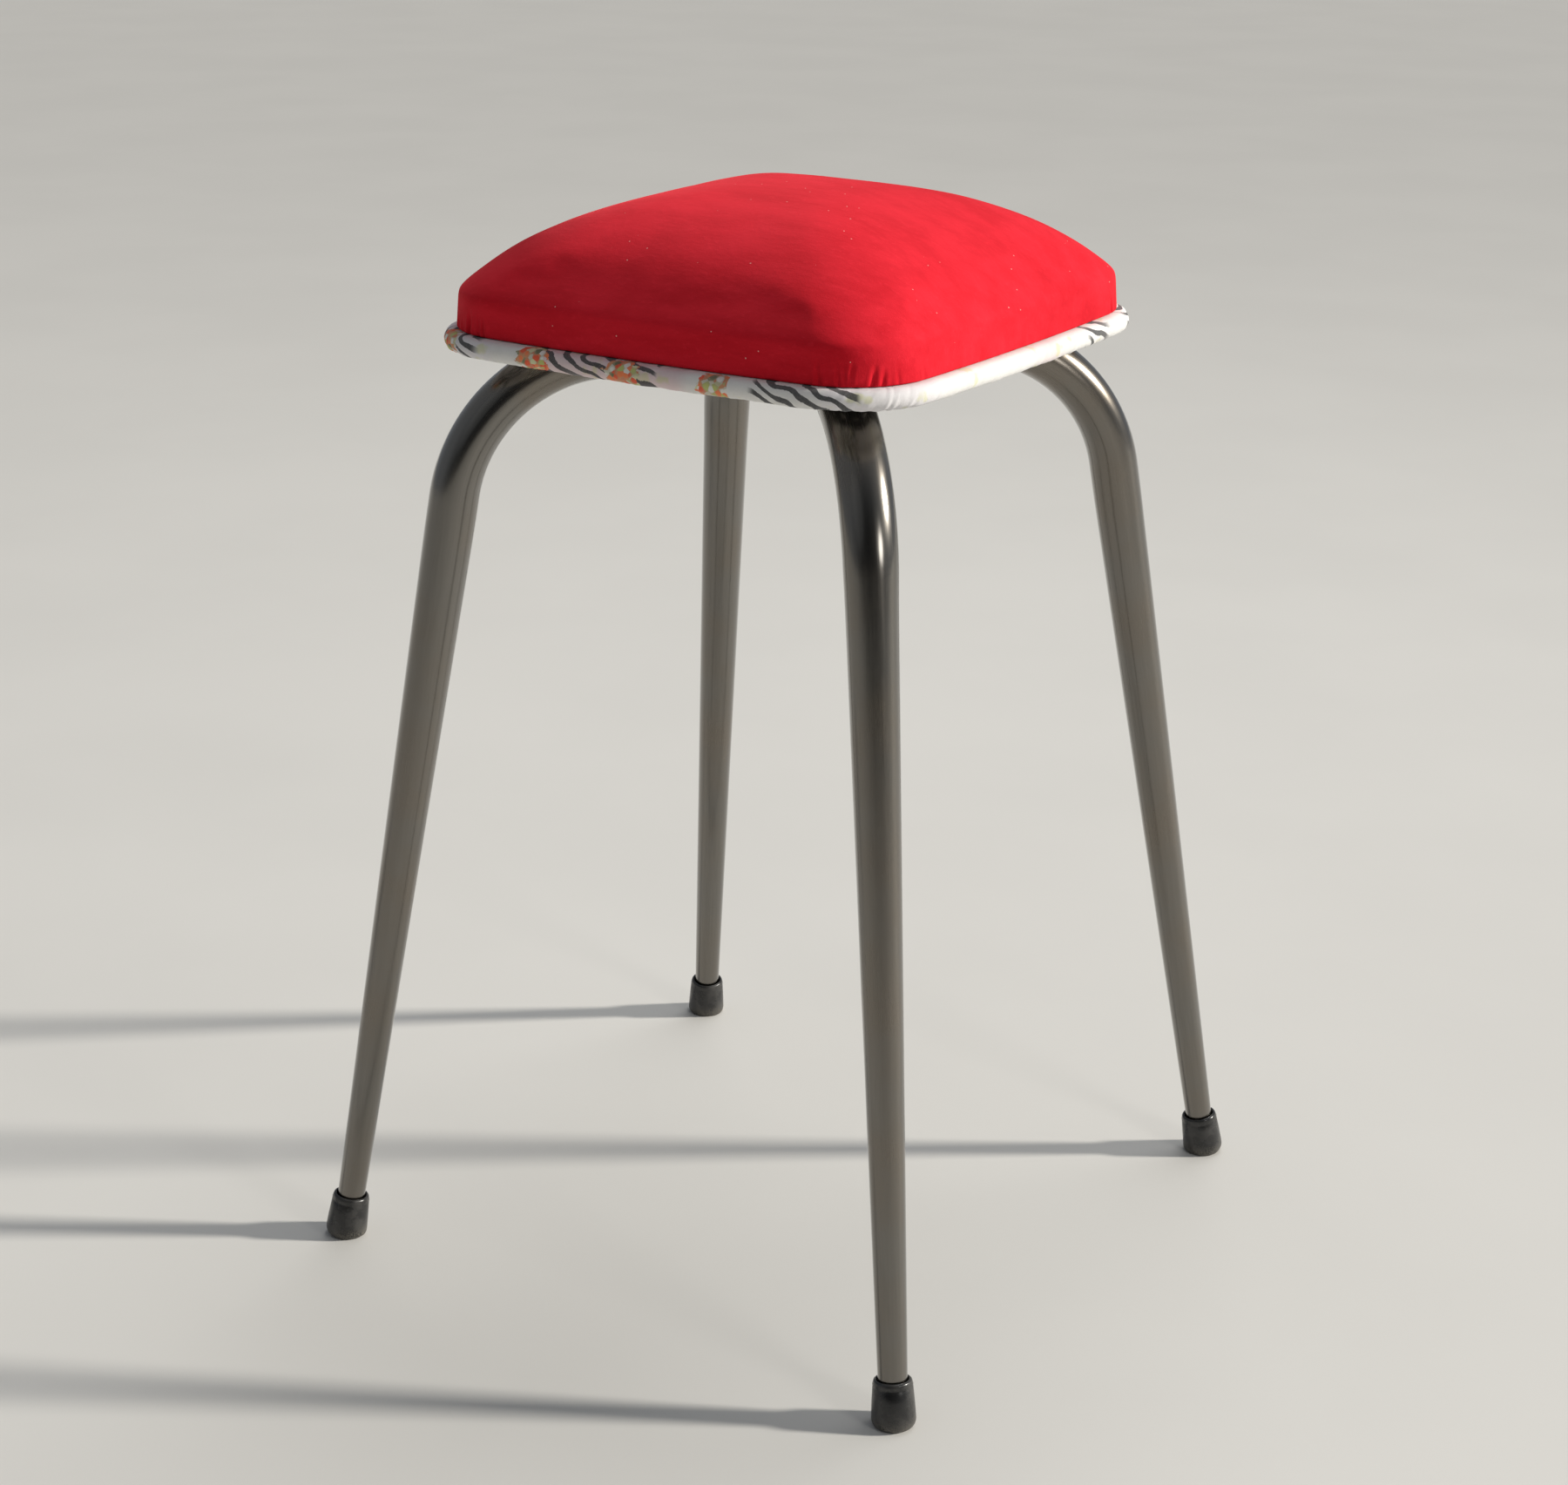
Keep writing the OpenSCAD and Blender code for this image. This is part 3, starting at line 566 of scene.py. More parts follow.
def polyCurve(name, spots, closed=False):
    curve = bpy.data.curves.new(name, "CURVE")
    curve.dimensions = "3D"
    line = curve.splines.new("POLY")
    line.points.add(len(spots) - 1)
    for point, spot in zip(line.points, spots):
        point.co = (*spot, 1)
    line.use_cyclic_u = closed
    return addPiece(name, curve, None)


def makeLegs():
    tree = legTree()
    tip, runEnd = leg["tip"], leg["topRadius"] + leg["endGap"]
    # where the slope and the level run would meet if the tube weren't bent
    meet = floorRadius - runHeight * math.tan(splay)
    route = [Vector((floorRadius - tip * math.sin(splay), 0, tip * math.cos(splay))),
             Vector((meet, 0, runHeight)), Vector((runEnd, 0, runHeight))]
    for corner, azimuth in corners.items():
        turned = turnedBy(azimuth)
        guide = polyCurve("leg_guide", [turned @ p for p in route])
        mesh = runTree(guide, tree, {
            "Foot Radius": leg["footRadius"], "Top Radius": leg["topRadius"], "Slope Length": slopeLength - tip,
            "Bend Radius": leg["bendRadius"], "Bend Length": leg["bendRadius"] * (math.pi / 2 - splay),
            "Flatten": leg["flatten"], "Fade": leg["flattenFade"], "Step": leg["step"], "Sides": leg["round"],
            "Across": tuple(turned @ Vector((0, 1, 0))), "Material": legSteel})
        drop(guide)
        piece = addPiece("leg_tube_" + corner, mended(mesh), legSteel)
        wall = piece.modifiers.new("wall", "SOLIDIFY")
        wall.thickness, wall.offset, wall.use_rim = leg["wall"], -1, True
        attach(piece, "root")
        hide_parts("leg_" + corner)


makeLegs()
print("legs swept, lean", round(math.degrees(splay), 2))


# rubber feet

foot = {
    "length": 0.028, "rimRadius": 0.0105, "baseRadius": 0.01225, "sole": 0.006, "bore": 0.00775,
    "rimRound": 0.0015, "baseRound": 0.0062, "lip": 0.0035, "groove": 0.00035, "steps": 72,
}


def footProfile():
    start = -foot["baseRadius"] * math.tan(splay)
    top = start + foot["length"]

    def wall(h):
        way = (h - start) / foot["length"]
        bow = 0.00025 * math.sin(math.pi * way)
        return foot["baseRadius"] + (foot["rimRadius"] - foot["baseRadius"]) * way + bow

    r, low = foot["baseRound"], start + foot["baseRound"]
    spots = [(0, start), (0.004, start)]
    spots += arcPoints((wall(low) - r, low), r, -90, 0, 9)
    grooveAt = top - foot["lip"]
    for h in (low + 0.003, low + 0.007, low + 0.011):
        spots.append((wall(h), h))
    # a shallow groove sets off the thicker lip at the rim
    spots += [(wall(grooveAt - 0.0007), grooveAt - 0.0007), (wall(grooveAt) - foot["groove"], grooveAt),
              (wall(grooveAt) + 0.0001, grooveAt + 0.0006)]
    r = foot["rimRound"]
    spots += arcPoints((wall(top) - r, top - r), r, 4, 90, 7)
    inner = foot["bore"] + 0.0009
    spots += arcPoints((inner + 0.0006, top - 0.0006), 0.0006, 90, 180, 4)
    spots += [(foot["bore"], foot["sole"] + 0.0005), (foot["bore"] - 0.0005, foot["sole"]), (0, foot["sole"])]
    return spots


def makeFeet():
    for corner, azimuth in corners.items():
        mesh = latheMesh("rubber_foot", footProfile(), foot["steps"])
        place = turnedBy(azimuth) @ Matrix.Translation((floorRadius, 0, 0)) @ Matrix.Rotation(-splay, 4, "Y")
        mesh.transform(place)
        for vertex in mesh.vertices:
            vertex.co.z = max(vertex.co.z, 0.0)   # the floor flattens the sole
        piece = addPiece("rubber_tip_" + corner, mended(mesh), rubber)
        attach(piece, "root")
        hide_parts("rubber_foot_" + corner)


makeFeet()
print("feet turned")


# seat plan, shared by the cushion, the piping and the staples

boardLow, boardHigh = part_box("seat_board")
velvetLow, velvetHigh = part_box("velvet_cover")
seat = {
    "cornerRadius": 0.042, "sideBow": 0.0027, "cornerShare": 0.42,
    "wadding": 0.003, "velvet": 0.0012, "sideHeight": 0.019, "crownPower": 0.81, "crownTop": 0.06, "footShare": 0.3,
}
halfWidth = boardHigh.x
flatHalf = halfWidth - seat["cornerRadius"]
sideRadius = (flatHalf ** 2 + seat["sideBow"] ** 2) / (2 * seat["sideBow"])
sideCentre = halfWidth - sideRadius
cornerCentre = (sideCentre + math.sqrt(2 * (sideRadius - seat["cornerRadius"]) ** 2 - sideCentre ** 2)) / 2
sideTurn = math.atan2(cornerCentre, cornerCentre - sideCentre)
velvetOut = seat["wadding"] + seat["velvet"]
sideTop = boardLow.z + seat["sideHeight"]
crownHeight = velvetHigh.z - sideTop


def outlineSpot(side, along, grow):
    # a point of the board's plan, grown outwards; along runs from -1 to 1 between two corners
    way, straight = abs(along), 1 - seat["cornerShare"]
    if way <= straight:
        angle = sideTurn * way / straight
        x, y = (sideRadius + grow) * math.sin(angle), sideCentre + (sideRadius + grow) * math.cos(angle)
    else:
        angle = sideTurn + (math.pi / 4 - sideTurn) * (way - straight) / seat["cornerShare"]
        x = cornerCentre + (seat["cornerRadius"] + grow) * math.sin(angle)
        y = cornerCentre + (seat["cornerRadius"] + grow) * math.cos(angle)
    x = math.copysign(x, along)
    for _ in range(side):
        x, y = y, -x
    return x, y


def crownAt(band):
    way = max(0.0, (band - seat["crownTop"]) / (1 - seat["crownTop"]))
    return (1 - way * way) ** seat["crownPower"]


def gridSpot(i, j, steps):
    # which side a grid corner faces, how far along that side, and its ring: 0 in the middle, 1 at the edge
    a, b = 2 * i / steps - 1, 2 * j / steps - 1
    ring = max(abs(a), abs(b))
    if ring == 0:
        return 0, 0.0, 0.0
    if abs(b) >= abs(a):
        return (0, a / ring, ring) if b > 0 else (2, -a / ring, ring)
    return (1, -b / ring, ring) if a > 0 else (3, b / ring, ring)


def gridSheet(points, faces, steps, place, upwards):
    # adds a square grid of points laid out to the seat's plan; gives back the ring of indices round its edge
    first = len(points)
    for j in range(steps + 1):
        for i in range(steps + 1):
            points.append(place(*gridSpot(i, j, steps)))

    def at(i, j):
        return first + j * (steps + 1) + i

    for j in range(steps):
        for i in range(steps):
            face = (at(i, j), at(i + 1, j), at(i + 1, j + 1), at(i, j + 1))
            faces.append(face if upwards else face[::-1])
    n = steps
    return ([at(i, n) for i in range(n)] + [at(n, j) for j in range(n, 0, -1)]
            + [at(i, 0) for i in range(n, 0, -1)] + [at(0, j) for j in range(n)])


def joinRings(faces, upper, lower):
    for k in range(len(upper)):
        n = (k + 1) % len(upper)
        faces.append((upper[k], upper[n], lower[n], lower[k]))


def closedForm(name, steps, top, walls, bottom):
    # a crown, wall rings below it and a bottom, as one closed mesh
    points, faces = [], []
    ring = gridSheet(points, faces, steps, top, True)
    for wall in walls:
        lower = []
        for k in range(4 * steps):
            lower.append(len(points))
            points.append(wall(k // steps, 2 * (k % steps) / steps - 1))
        joinRings(faces, ring, lower)
        ring = lower
    joinRings(faces, ring, gridSheet(points, faces, steps, bottom, False))
    return meshFrom(name, points, faces)


def crownPlace(cover, edgeGrow, tighten=1.5):
    # the crown's surface, lowered and drawn in by what lies over it
    low = sideTop - cover * seat["footShare"]
    rise = crownHeight - cover * (1 - seat["footShare"])

    def place(side, along, ring):
        band = 1 - (1 - ring) ** tighten
        x, y = outlineSpot(side, along, edgeGrow)
        return x * band, y * band, low + rise * crownAt(band)
    return place


def flatPlace(grow, height):
    def place(side, along, ring):
        x, y = outlineSpot(side, along, grow)
        return x * ring, y * ring, height
    return place


def wallRing(grow, height):
    return lambda side, along: (*outlineSpot(side, along, grow), height)


# velvet cushion

cushion = {
    "steps": 44, "inset": 0.0014, "cap": 0.005, "pressure": 9.0, "frames": 20, "edgeRound": 0.0016, "turnedIn": 0.03,
    "puckers": 10, "puckerDepth": 0.0013, "puckerWidth": 0.0010, "puckerTop": 0.015,
    "sidePuckers": 9, "sidePuckerDepth": 0.0003, "dentDepth": 0.0004, "seed": 11,
    "gripHeight": 0.0035, "gripAbove": 0.4, "gripFade": 0.006,   # the hem is held up to here, then lets go
    "fabric": {"quality": 6, "mass": 0.3, "tension_stiffness": 15, "compression_stiffness": 15,
               "shear_stiffness": 6, "bending_stiffness": 1.2},
}


def cushionStart():
    lift = cushion["inset"]
    grow = velvetOut - lift
    low, edge = velvetLow.z, cushion["edgeRound"]
    crown = crownPlace(0.0, grow)

    def top(side, along, ring):
        x, y, z = crown(side, along, ring)
        return x, y, z - lift * (1 - ring)
    # the foot of the wall is stapled down at its full size, only the stuffed part starts small
    walls = [wallRing(velvetOut - lift * share, low + (sideTop - low) * share) for share in (0.78, 0.56, 0.36, 0.2)]
    walls += [wallRing(velvetOut, low + edge), wallRing(velvetOut - edge * 0.35, low + edge * 0.3),
              wallRing(velvetOut - edge, low)]
    # turned in under the board, then closed off inside it
    turned, hidden = -cushion["turnedIn"], boardLow.z + 0.0016
    walls += [wallRing(turned * 0.5, low), wallRing(turned + 0.0006, low)]
    walls += [wallRing(turned, low + 0.0004), wallRing(turned, hidden - 0.0004), wallRing(turned - 0.0006, hidden)]
    return closedForm("cushion_start", cushion["steps"], top, walls, flatPlace(turned - 0.003, hidden))


def inflate(piece):
    # the stuffed cover swells against its pinned lower edge, then each point's move is capped
    before = [v.co.copy() for v in piece.data.vertices]
    held = piece.vertex_groups.new(name="held")
    low, hem = velvetLow.z, cushion["gripHeight"]
    for i, spot in enumerate(before):
        loose = cushion["gripAbove"] * (1 - (spot.z - low - hem) / cushion["gripFade"])
        held.add([i], 1.0 if spot.z < low + hem else max(0.0, loose), "REPLACE")
    cloth = piece.modifiers.new("swell", "CLOTH")
    settings = cloth.settings
    for name, value in cushion["fabric"].items():
        setattr(settings, name, value)
    settings.use_pressure = True
    settings.uniform_pressure_force = cushion["pressure"]
    settings.vertex_group_mass = "held"
    settings.effector_weights.gravity = 0
    cloth.collision_settings.use_collision = False
    cloth.point_cache.frame_start, cloth.point_cache.frame_end = 1, cushion["frames"]
    for number in range(1, cushion["frames"] + 1):
        scene.frame_set(number)
    swollen = evaluated(piece, "cushion_swollen")
    outward = [normal.vector.copy() for normal in piece.data.vertex_normals]
    furthest = 0.0
    for vertex, spot, normal in zip(swollen.vertices, before, outward):
        move = vertex.co - spot
        move -= normal * min(0.0, move.dot(normal))   # the stuffing stops the cloth from sinking in
        furthest = max(furthest, move.length)
        if move.length > cushion["cap"]:
            move *= cushion["cap"] / move.length
        vertex.co = spot + move
    piece.modifiers.clear()
    scene.frame_set(1)
    print("cushion swelled up to", round(furthest * 1000, 1), "mm before the cap")
    return swollen


def outlineRuler(grow, steps=400):
    # points round the plan with their distance along it and outward direction
    ruler, total, last = [], 0.0, None
    for k in range(4 * steps):
        side, along = k // steps, 2 * (k % steps) / steps - 1
        spot = Vector(outlineSpot(side, along, grow))
        outer = Vector(outlineSpot(side, along, grow + 0.001))
        if last is not None:
            total += (spot - last).length
        ruler.append((spot, total, (outer - spot).normalized(), abs(along)))
        last = spot
    return ruler, total + (ruler[0][0] - last).length


def puckerList(ruler, length, rng):
    # where the cloth is drawn in: a fan at each corner, and faint ones along the sides
    found = []
    quarter = length / 4
    for side in range(4):
        for _ in range(cushion["puckers"]):
            found.append((side * quarter + rng.uniform(-0.034, 0.034),
                          cushion["puckerDepth"] * rng.uniform(0.35, 1.0),
                          cushion["puckerWidth"] * rng.uniform(0.7, 1.3),
                          cushion["puckerTop"] * rng.uniform(0.45, 1.0), rng.uniform(-0.18, 0.18)))
        for _ in range(cushion["sidePuckers"]):
            found.append((side * quarter + rng.uniform(0.05, quarter - 0.05),
                          cushion["sidePuckerDepth"] * rng.uniform(0.3, 1.0),
                          cushion["puckerWidth"] * rng.uniform(1.4, 2.4),
                          cushion["puckerTop"] * rng.uniform(0.5, 0.9), rng.uniform(-0.25, 0.25)))
    return found


def shapeCushion(mesh):
    rng = random.Random(cushion["seed"])
    ruler, length = outlineRuler(velvetOut)
    finder = kdtree.KDTree(len(ruler))
    for i, row in enumerate(ruler):
        finder.insert((row[0].x, row[0].y, 0), i)
    finder.balance()
    puckers = puckerList(ruler, length, rng)
    low = velvetLow.z
    spots = [vertex.co.copy() for vertex in mesh.vertices]
    normals = [vertex.vector.copy() for vertex in mesh.vertex_normals]
    for i, (spot, normal) in enumerate(zip(spots, normals)):
        # slow hollows and rises of a hand-stuffed seat, fading out at the piping
        rise = min(1.0, max(0.0, (spot.z - low) / 0.03))
        slow = noise.noise(spot * 17 + Vector((3.1, 0, 0))) + 0.5 * noise.noise(spot * 41)
        moved = spot + normal * (slow * cushion["dentDepth"] * rise)
        _, near, gap = finder.find((spot.x, spot.y, 0))
        if low + 0.0004 < spot.z < low + 0.024 and gap < 0.012:
            at, outward = ruler[near][1], ruler[near][2]
            moved += Vector((outward.x, outward.y, 0)) * puckerPush(puckers, at, spot.z - low, length)
        spots[i] = moved
    mesh.vertices.foreach_set("co", [value for spot in spots for value in spot])
    mesh.update()


def puckerPush(puckers, at, height, length):
    # how far the puckers near this point draw it in, with the small raised edges beside them
    push = 0.0
    for middle, depth, width, top, lean in puckers:
        off = at - middle
        off += lean * height - length * round(off / length)
        if abs(off) > 5 * width or height > top:
            continue
        fade = (1 - (height / top) ** 1.5) * min(1.0, height / 0.0015)
        push -= depth * fade * math.exp(-(off / width) ** 2)
        push += 0.3 * depth * fade * math.exp(-((abs(off) - 2.1 * width) / width) ** 2)
    return push


def makeCushion():
    piece = addPiece("velvet_cushion", cushionStart(), velvet)
    old = piece.data
    piece.data = inflate(piece)
    bpy.data.meshes.remove(old)
    piece.vertex_groups.clear()
    fine = piece.modifiers.new("fine", "SUBSURF")
    fine.levels = fine.render_levels = 2
    old = piece.data
    piece.data = evaluated(piece, "velvet_cushion")
    piece.modifiers.clear()
    bpy.data.meshes.remove(old)
    piece.data.materials.clear()
    piece.data.materials.append(velvet)
    shapeCushion(piece.data)
    piece.data.polygons.foreach_set("use_smooth", [True] * len(piece.data.polygons))
    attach(piece, "root")
    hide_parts("velvet_cover")
    return piece


velvetPiece = makeCushion()
print("cushion shaped:", len(velvetPiece.data.polygons), "faces")


# foam and wadding inside the cover

filling = {"steps": 40, "foamSag": 0.0002, "cover": 0.0036, "out": 0.0016}


def makeFilling():
    top = boardHigh.z
    foam = addPiece("foam_block", closedForm(
        "foam_block", filling["steps"], crownPlace(velvetOut, 0.0), [wallRing(0, top + 0.001), wallRing(-0.001, top)],
        flatPlace(-0.002, top)), foamCell)
    for vertex in foam.data.vertices:   # a hand-cut block isn't quite even
        if vertex.co.z > top + 0.002:
            vertex.co.z -= filling["foamSag"] * (1 + noise.noise(vertex.co * 60))
    wrap = addPiece("wadding_wrap", closedForm(
        "wadding_wrap", filling["steps"], crownPlace(filling["cover"], filling["out"]),
        [wallRing(filling["out"], boardLow.z + (sideTop - boardLow.z) * 0.5),
         wallRing(filling["out"], boardLow.z + 0.0008), wallRing(filling["out"] - 0.0008, boardLow.z + 0.0002),
         wallRing(0.0004, boardLow.z + 0.0006), wallRing(0.0002, top)],
        crownPlace(velvetOut - 0.0001, 0.0001)), waddingFibre)
    for piece, node, slot in ((foam, "foam_pad", "foam"), (wrap, "wadding_layer", "wadding")):
        soft = piece.modifiers.new("soft", "SUBSURF")
        soft.levels = soft.render_levels = 1
        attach(piece, "root")
        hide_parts(node)


makeFilling()
print("filling made")


# piping

piping = {
    "radius": 0.0055, "pathOut": 0.0056, "flange": 0.024, "flangeThick": 0.0012,
    "cloth": 0.0006, "steps": 270, "round": 34, "foldDepth": 0.00038, "cornerFold": 0.00065, "wave": 0.0004,
    "foldPitch": 0.0071, "foldSlant": 0.55, "ripple": 0.00035,
}
pipingHeight = velvetLow.z - piping["radius"]


def pipingSection():
    # the strip's outer face: in from the velvet's turned edge, round the cord and back in below
    r, flange = piping["radius"], piping["flange"]
    under = r - piping["flangeThick"]
    steps = 4
    spots = [(-flange + (flange - 0.0005) * i / steps, r) for i in range(steps)]
    spots += arcPoints((0, 0), r, 90, 90 - 360 + math.degrees(math.acos(under / r)) + 8, piping["round"])
    last = spots[-1]
    spots += [(last[0] - 0.0016, under - 0.0001)]
    spots += [(spots[-1][0] + (-flange - spots[-1][0]) * i / steps, under) for i in range(1, steps + 1)]
    return spots


def makePiping():
    section = pipingSection()
    reach = [0.0]
    for a, b in zip(section, section[1:]):
        reach.append(reach[-1] + math.dist(a, b))
    ruler, length = outlineRuler(piping["pathOut"], piping["steps"])
    around, points, faces = len(ruler), [], []
    for spot, at, outward, cornerWay in ruler:
        turn = 2 * math.pi * at / length
        loop = Vector((math.cos(turn), math.sin(turn), 0)) * 3.0   # noise that closes on itself
        sway = piping["wave"] * noise.noise(loop * 3.0)
        lift = piping["wave"] * noise.noise(loop * 4.0 + Vector((0, 0, 7)))
        inCorner = min(1.0, max(0.0, (cornerWay - 0.62) / 0.2))
        for (x, z), v in zip(section, reach):
            angle = math.atan2(z, x)
            onCord = 1.0 if x > -0.0045 else 0.0
            # gathers run slantwise over the cord and deepen underneath, most at the corners
            slant = at - v * piping["foldSlant"]
            ripple = noise.noise(Vector((math.cos(turn) * 24, math.sin(turn) * 24, v * 60)) + loop * (v * 9))
            fold = math.sin(slant * 2 * math.pi / piping["foldPitch"] + 4.5 * noise.noise(loop * 7)) ** 3
            fold *= 0.55 + noise.noise(loop * 11 + Vector((0, 9, 0)))
            below = 0.35 + 0.65 * min(1.0, max(0.0, (0.002 - z) / 0.005))
            depth = piping["foldDepth"] + (piping["cornerFold"] - piping["foldDepth"]) * inCorner
            strong = max(0.0, 0.35 + noise.noise(loop * 6 + Vector((5, 0, 0))) + 0.5 * inCorner)
            bump = onCord * (ripple * piping["ripple"] + fold * depth * below * min(1.0, strong))
            if z > 0.0046:
                bump = min(bump, 0.0)     # flat where the velvet lies on it
            gx, gz = x + bump * math.cos(angle), z + bump * math.sin(angle)
            grow = gx + (sway if onCord else 0.0)
            points.append((spot.x + outward.x * grow, spot.y + outward.y * grow,
                           pipingHeight + gz + (lift if onCord and z < 0.003 else 0.0)))
    wide = len(section)
    for k in range(around):
        n = (k + 1) % around
        for i in range(wide - 1):
            faces.append((k * wide + i, n * wide + i, n * wide + i + 1, k * wide + i + 1))
    mesh = meshFrom("piping_strip", points, faces)
    uv = mesh.uv_layers.new(name="clothMap")
    for face in mesh.polygons:
        for loopIndex, index in zip(face.loop_indices, face.vertices):
            k, i = divmod(index, wide)
            at = ruler[k][1]
            if face.index // (wide - 1) == around - 1 and k == 0:
                at = length     # the last faces run on to the full length
            uv.data[loopIndex].uv = (at, reach[i])
    piece = addPiece("piping_strip", mesh, printed)
    wall = piece.modifiers.new("cloth", "SOLIDIFY")
    wall.thickness, wall.offset = piping["cloth"], -1
    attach(piece, "root")
    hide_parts("piping_sleeve")
    print("piping strip cut", round(reach[-1] * 1000, 1), "by", round(length * 1000, 1), "mm")
    return piece


def cordTree():
    tree, inn, out = newGroup("twistedCord", [
        ("Geometry", "Geometry", None), ("Twists", "Float", 50.0), ("Strand Radius", "Float", 0.002),
        ("Twist Radius", "Float", 0.002), ("Points", "Int", 1500), ("Material", "Material", None)],
        [("Geometry", "Geometry")], "GeometryNodeTree")
    path = put(tree, "GeometryNodeResampleCurve", {"Curve": inn["Geometry"], "Count": inn["Points"]},
               mode="COUNT").outputs[0]
    way = put(tree, "GeometryNodeSplineParameter").outputs["Factor"]
    heading = put(tree, "GeometryNodeInputTangent").outputs[0]
    upward = put(tree, "ShaderNodeCombineXYZ", {2: 1.0}).outputs[0]
    sideways = put(tree, "ShaderNodeVectorMath", {0: heading, 1: upward}, operation="CROSS_PRODUCT").outputs[0]
    ring = put(tree, "GeometryNodeCurvePrimitiveCircle", {
        "Resolution": 10, "Radius": inn["Strand Radius"]}).outputs[0]
    joined = put(tree, "GeometryNodeJoinGeometry")
    for strand in range(3):
        turn = calc(tree, "ADD", calc(tree, "MULTIPLY", calc(tree, "MULTIPLY", way, inn["Twists"]), 2 * math.pi),
                    2 * math.pi * strand / 3)
        offset = vectorCalc(tree, "ADD", vectorCalc(tree, "SCALE", sideways, scale=calc(tree, "COSINE", turn)),
                            vectorCalc(tree, "SCALE", upward, scale=calc(tree, "SINE", turn)))
        offset = vectorCalc(tree, "SCALE", offset, scale=inn["Twist Radius"])
        moved = put(tree, "GeometryNodeSetPosition", {"Geometry": path, "Offset": offset}).outputs[0]
        tube = put(tree, "GeometryNodeCurveToMesh", {"Curve": moved, "Profile Curve": ring, "Scale": 1.0}).outputs[0]
        tree.links.new(tube, joined.inputs[0])
    smooth = put(tree, "GeometryNodeSetShadeSmooth", {"Geometry": joined.outputs[0]}).outputs[0]
    real = put(tree, "GeometryNodeRealizeInstances", {"Geometry": smooth}).outputs[0]
    tree.links.new(put(tree, "GeometryNodeSetMaterial", {"Geometry": real, "Material": inn["Material"]}).outputs[0],
                   out["Geometry"])
    return tree


def makeCord():
    ruler, length = outlineRuler(piping["pathOut"], 120)
    guide = polyCurve("cord_guide", [(row[0].x, row[0].y, pipingHeight) for row in ruler], closed=True)
    mesh = runTree(guide, cordTree(), {
        "Twists": float(round(length / 0.021)), "Strand Radius": 0.0021, "Twist Radius": 0.0022, "Points": 1400,
        "Material": cordCotton})
    drop(guide)
    piece = addPiece("twisted_cord", mesh, cordCotton)
    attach(piece, "root")
    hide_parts("piping_cord")


makeCord()
makePiping()
print("piping made")


# repeated pieces: screws, staples and weld ripples

def scatterTree():
    # stands a copy of one shape on every point, turned by the point's own angle and scaled a little at random
    tree, inn, out = newGroup("placedCopies", [
        ("Geometry", "Geometry", None), ("Shape", "Object", None), ("Size Low", "Float", 1.0),
        ("Size High", "Float", 1.0), ("Seed", "Int", 1), ("Smooth", "Bool", True), ("Material", "Material", None)],
        [("Geometry", "Geometry")], "GeometryNodeTree")
    shape = put(tree, "GeometryNodeObjectInfo", {"Object": inn["Shape"]}).outputs["Geometry"]
    turn = put(tree, "GeometryNodeInputNamedAttribute", {"Name": "turn"}, data_type="FLOAT").outputs[0]
    roll = put(tree, "GeometryNodeInputNamedAttribute", {"Name": "roll"}, data_type="FLOAT").outputs[0]
    angles = put(tree, "ShaderNodeCombineXYZ", {0: roll, 2: turn}).outputs[0]
    rotation = put(tree, "FunctionNodeEulerToRotation", {0: angles}).outputs[0]
    size = put(tree, "FunctionNodeRandomValue", {2: inn["Size Low"], 3: inn["Size High"], "Seed": inn["Seed"]},
               data_type="FLOAT").outputs[1]
    copies = put(tree, "GeometryNodeInstanceOnPoints", {
        "Points": inn["Geometry"], "Instance": shape, "Rotation": rotation, "Scale": size}).outputs[0]
    real = put(tree, "GeometryNodeRealizeInstances", {"Geometry": copies}).outputs[0]
    real = put(tree, "GeometryNodeSetShadeSmooth", {"Geometry": real, "Shade Smooth": inn["Smooth"]}).outputs[0]
    tree.links.new(put(tree, "GeometryNodeSetMaterial", {"Geometry": real, "Material": inn["Material"]}).outputs[0],
                   out["Geometry"])
    return tree


placedCopies = scatterTree()


def copiesOf(name, shapeMesh, places, material, low=1.0, high=1.0, seed=1, smooth=True):
    shape = addPiece(name + "_shape", shapeMesh, material)
    spots = bpy.data.meshes.new(name + "_places")
    spots.from_pydata([p[0] for p in places], [], [])
    for number, label in ((1, "turn"), (2, "roll")):
        spots.attributes.new(label, "FLOAT", "POINT").data.foreach_set("value", [p[number] for p in places])
    holder = addPiece(name + "_places", spots, None)
    mesh = runTree(holder, placedCopies, {"Shape": shape, "Size Low": low, "Size High": high, "Seed": seed,
                                          "Smooth": smooth, "Material": material})
    drop(holder)
    drop(shape)
    return addPiece(name, mesh, material)


screw = {
    "headRadius": 0.0045, "headHeight": 0.003, "shankRadius": 0.00225, "bite": 0.011, "edge": 0.012, "pitch": 0.036,
    "recessLength": 0.0023, "recessWidth": 0.00055, "recessDepth": 0.0018, "thread": 0.0018,
}


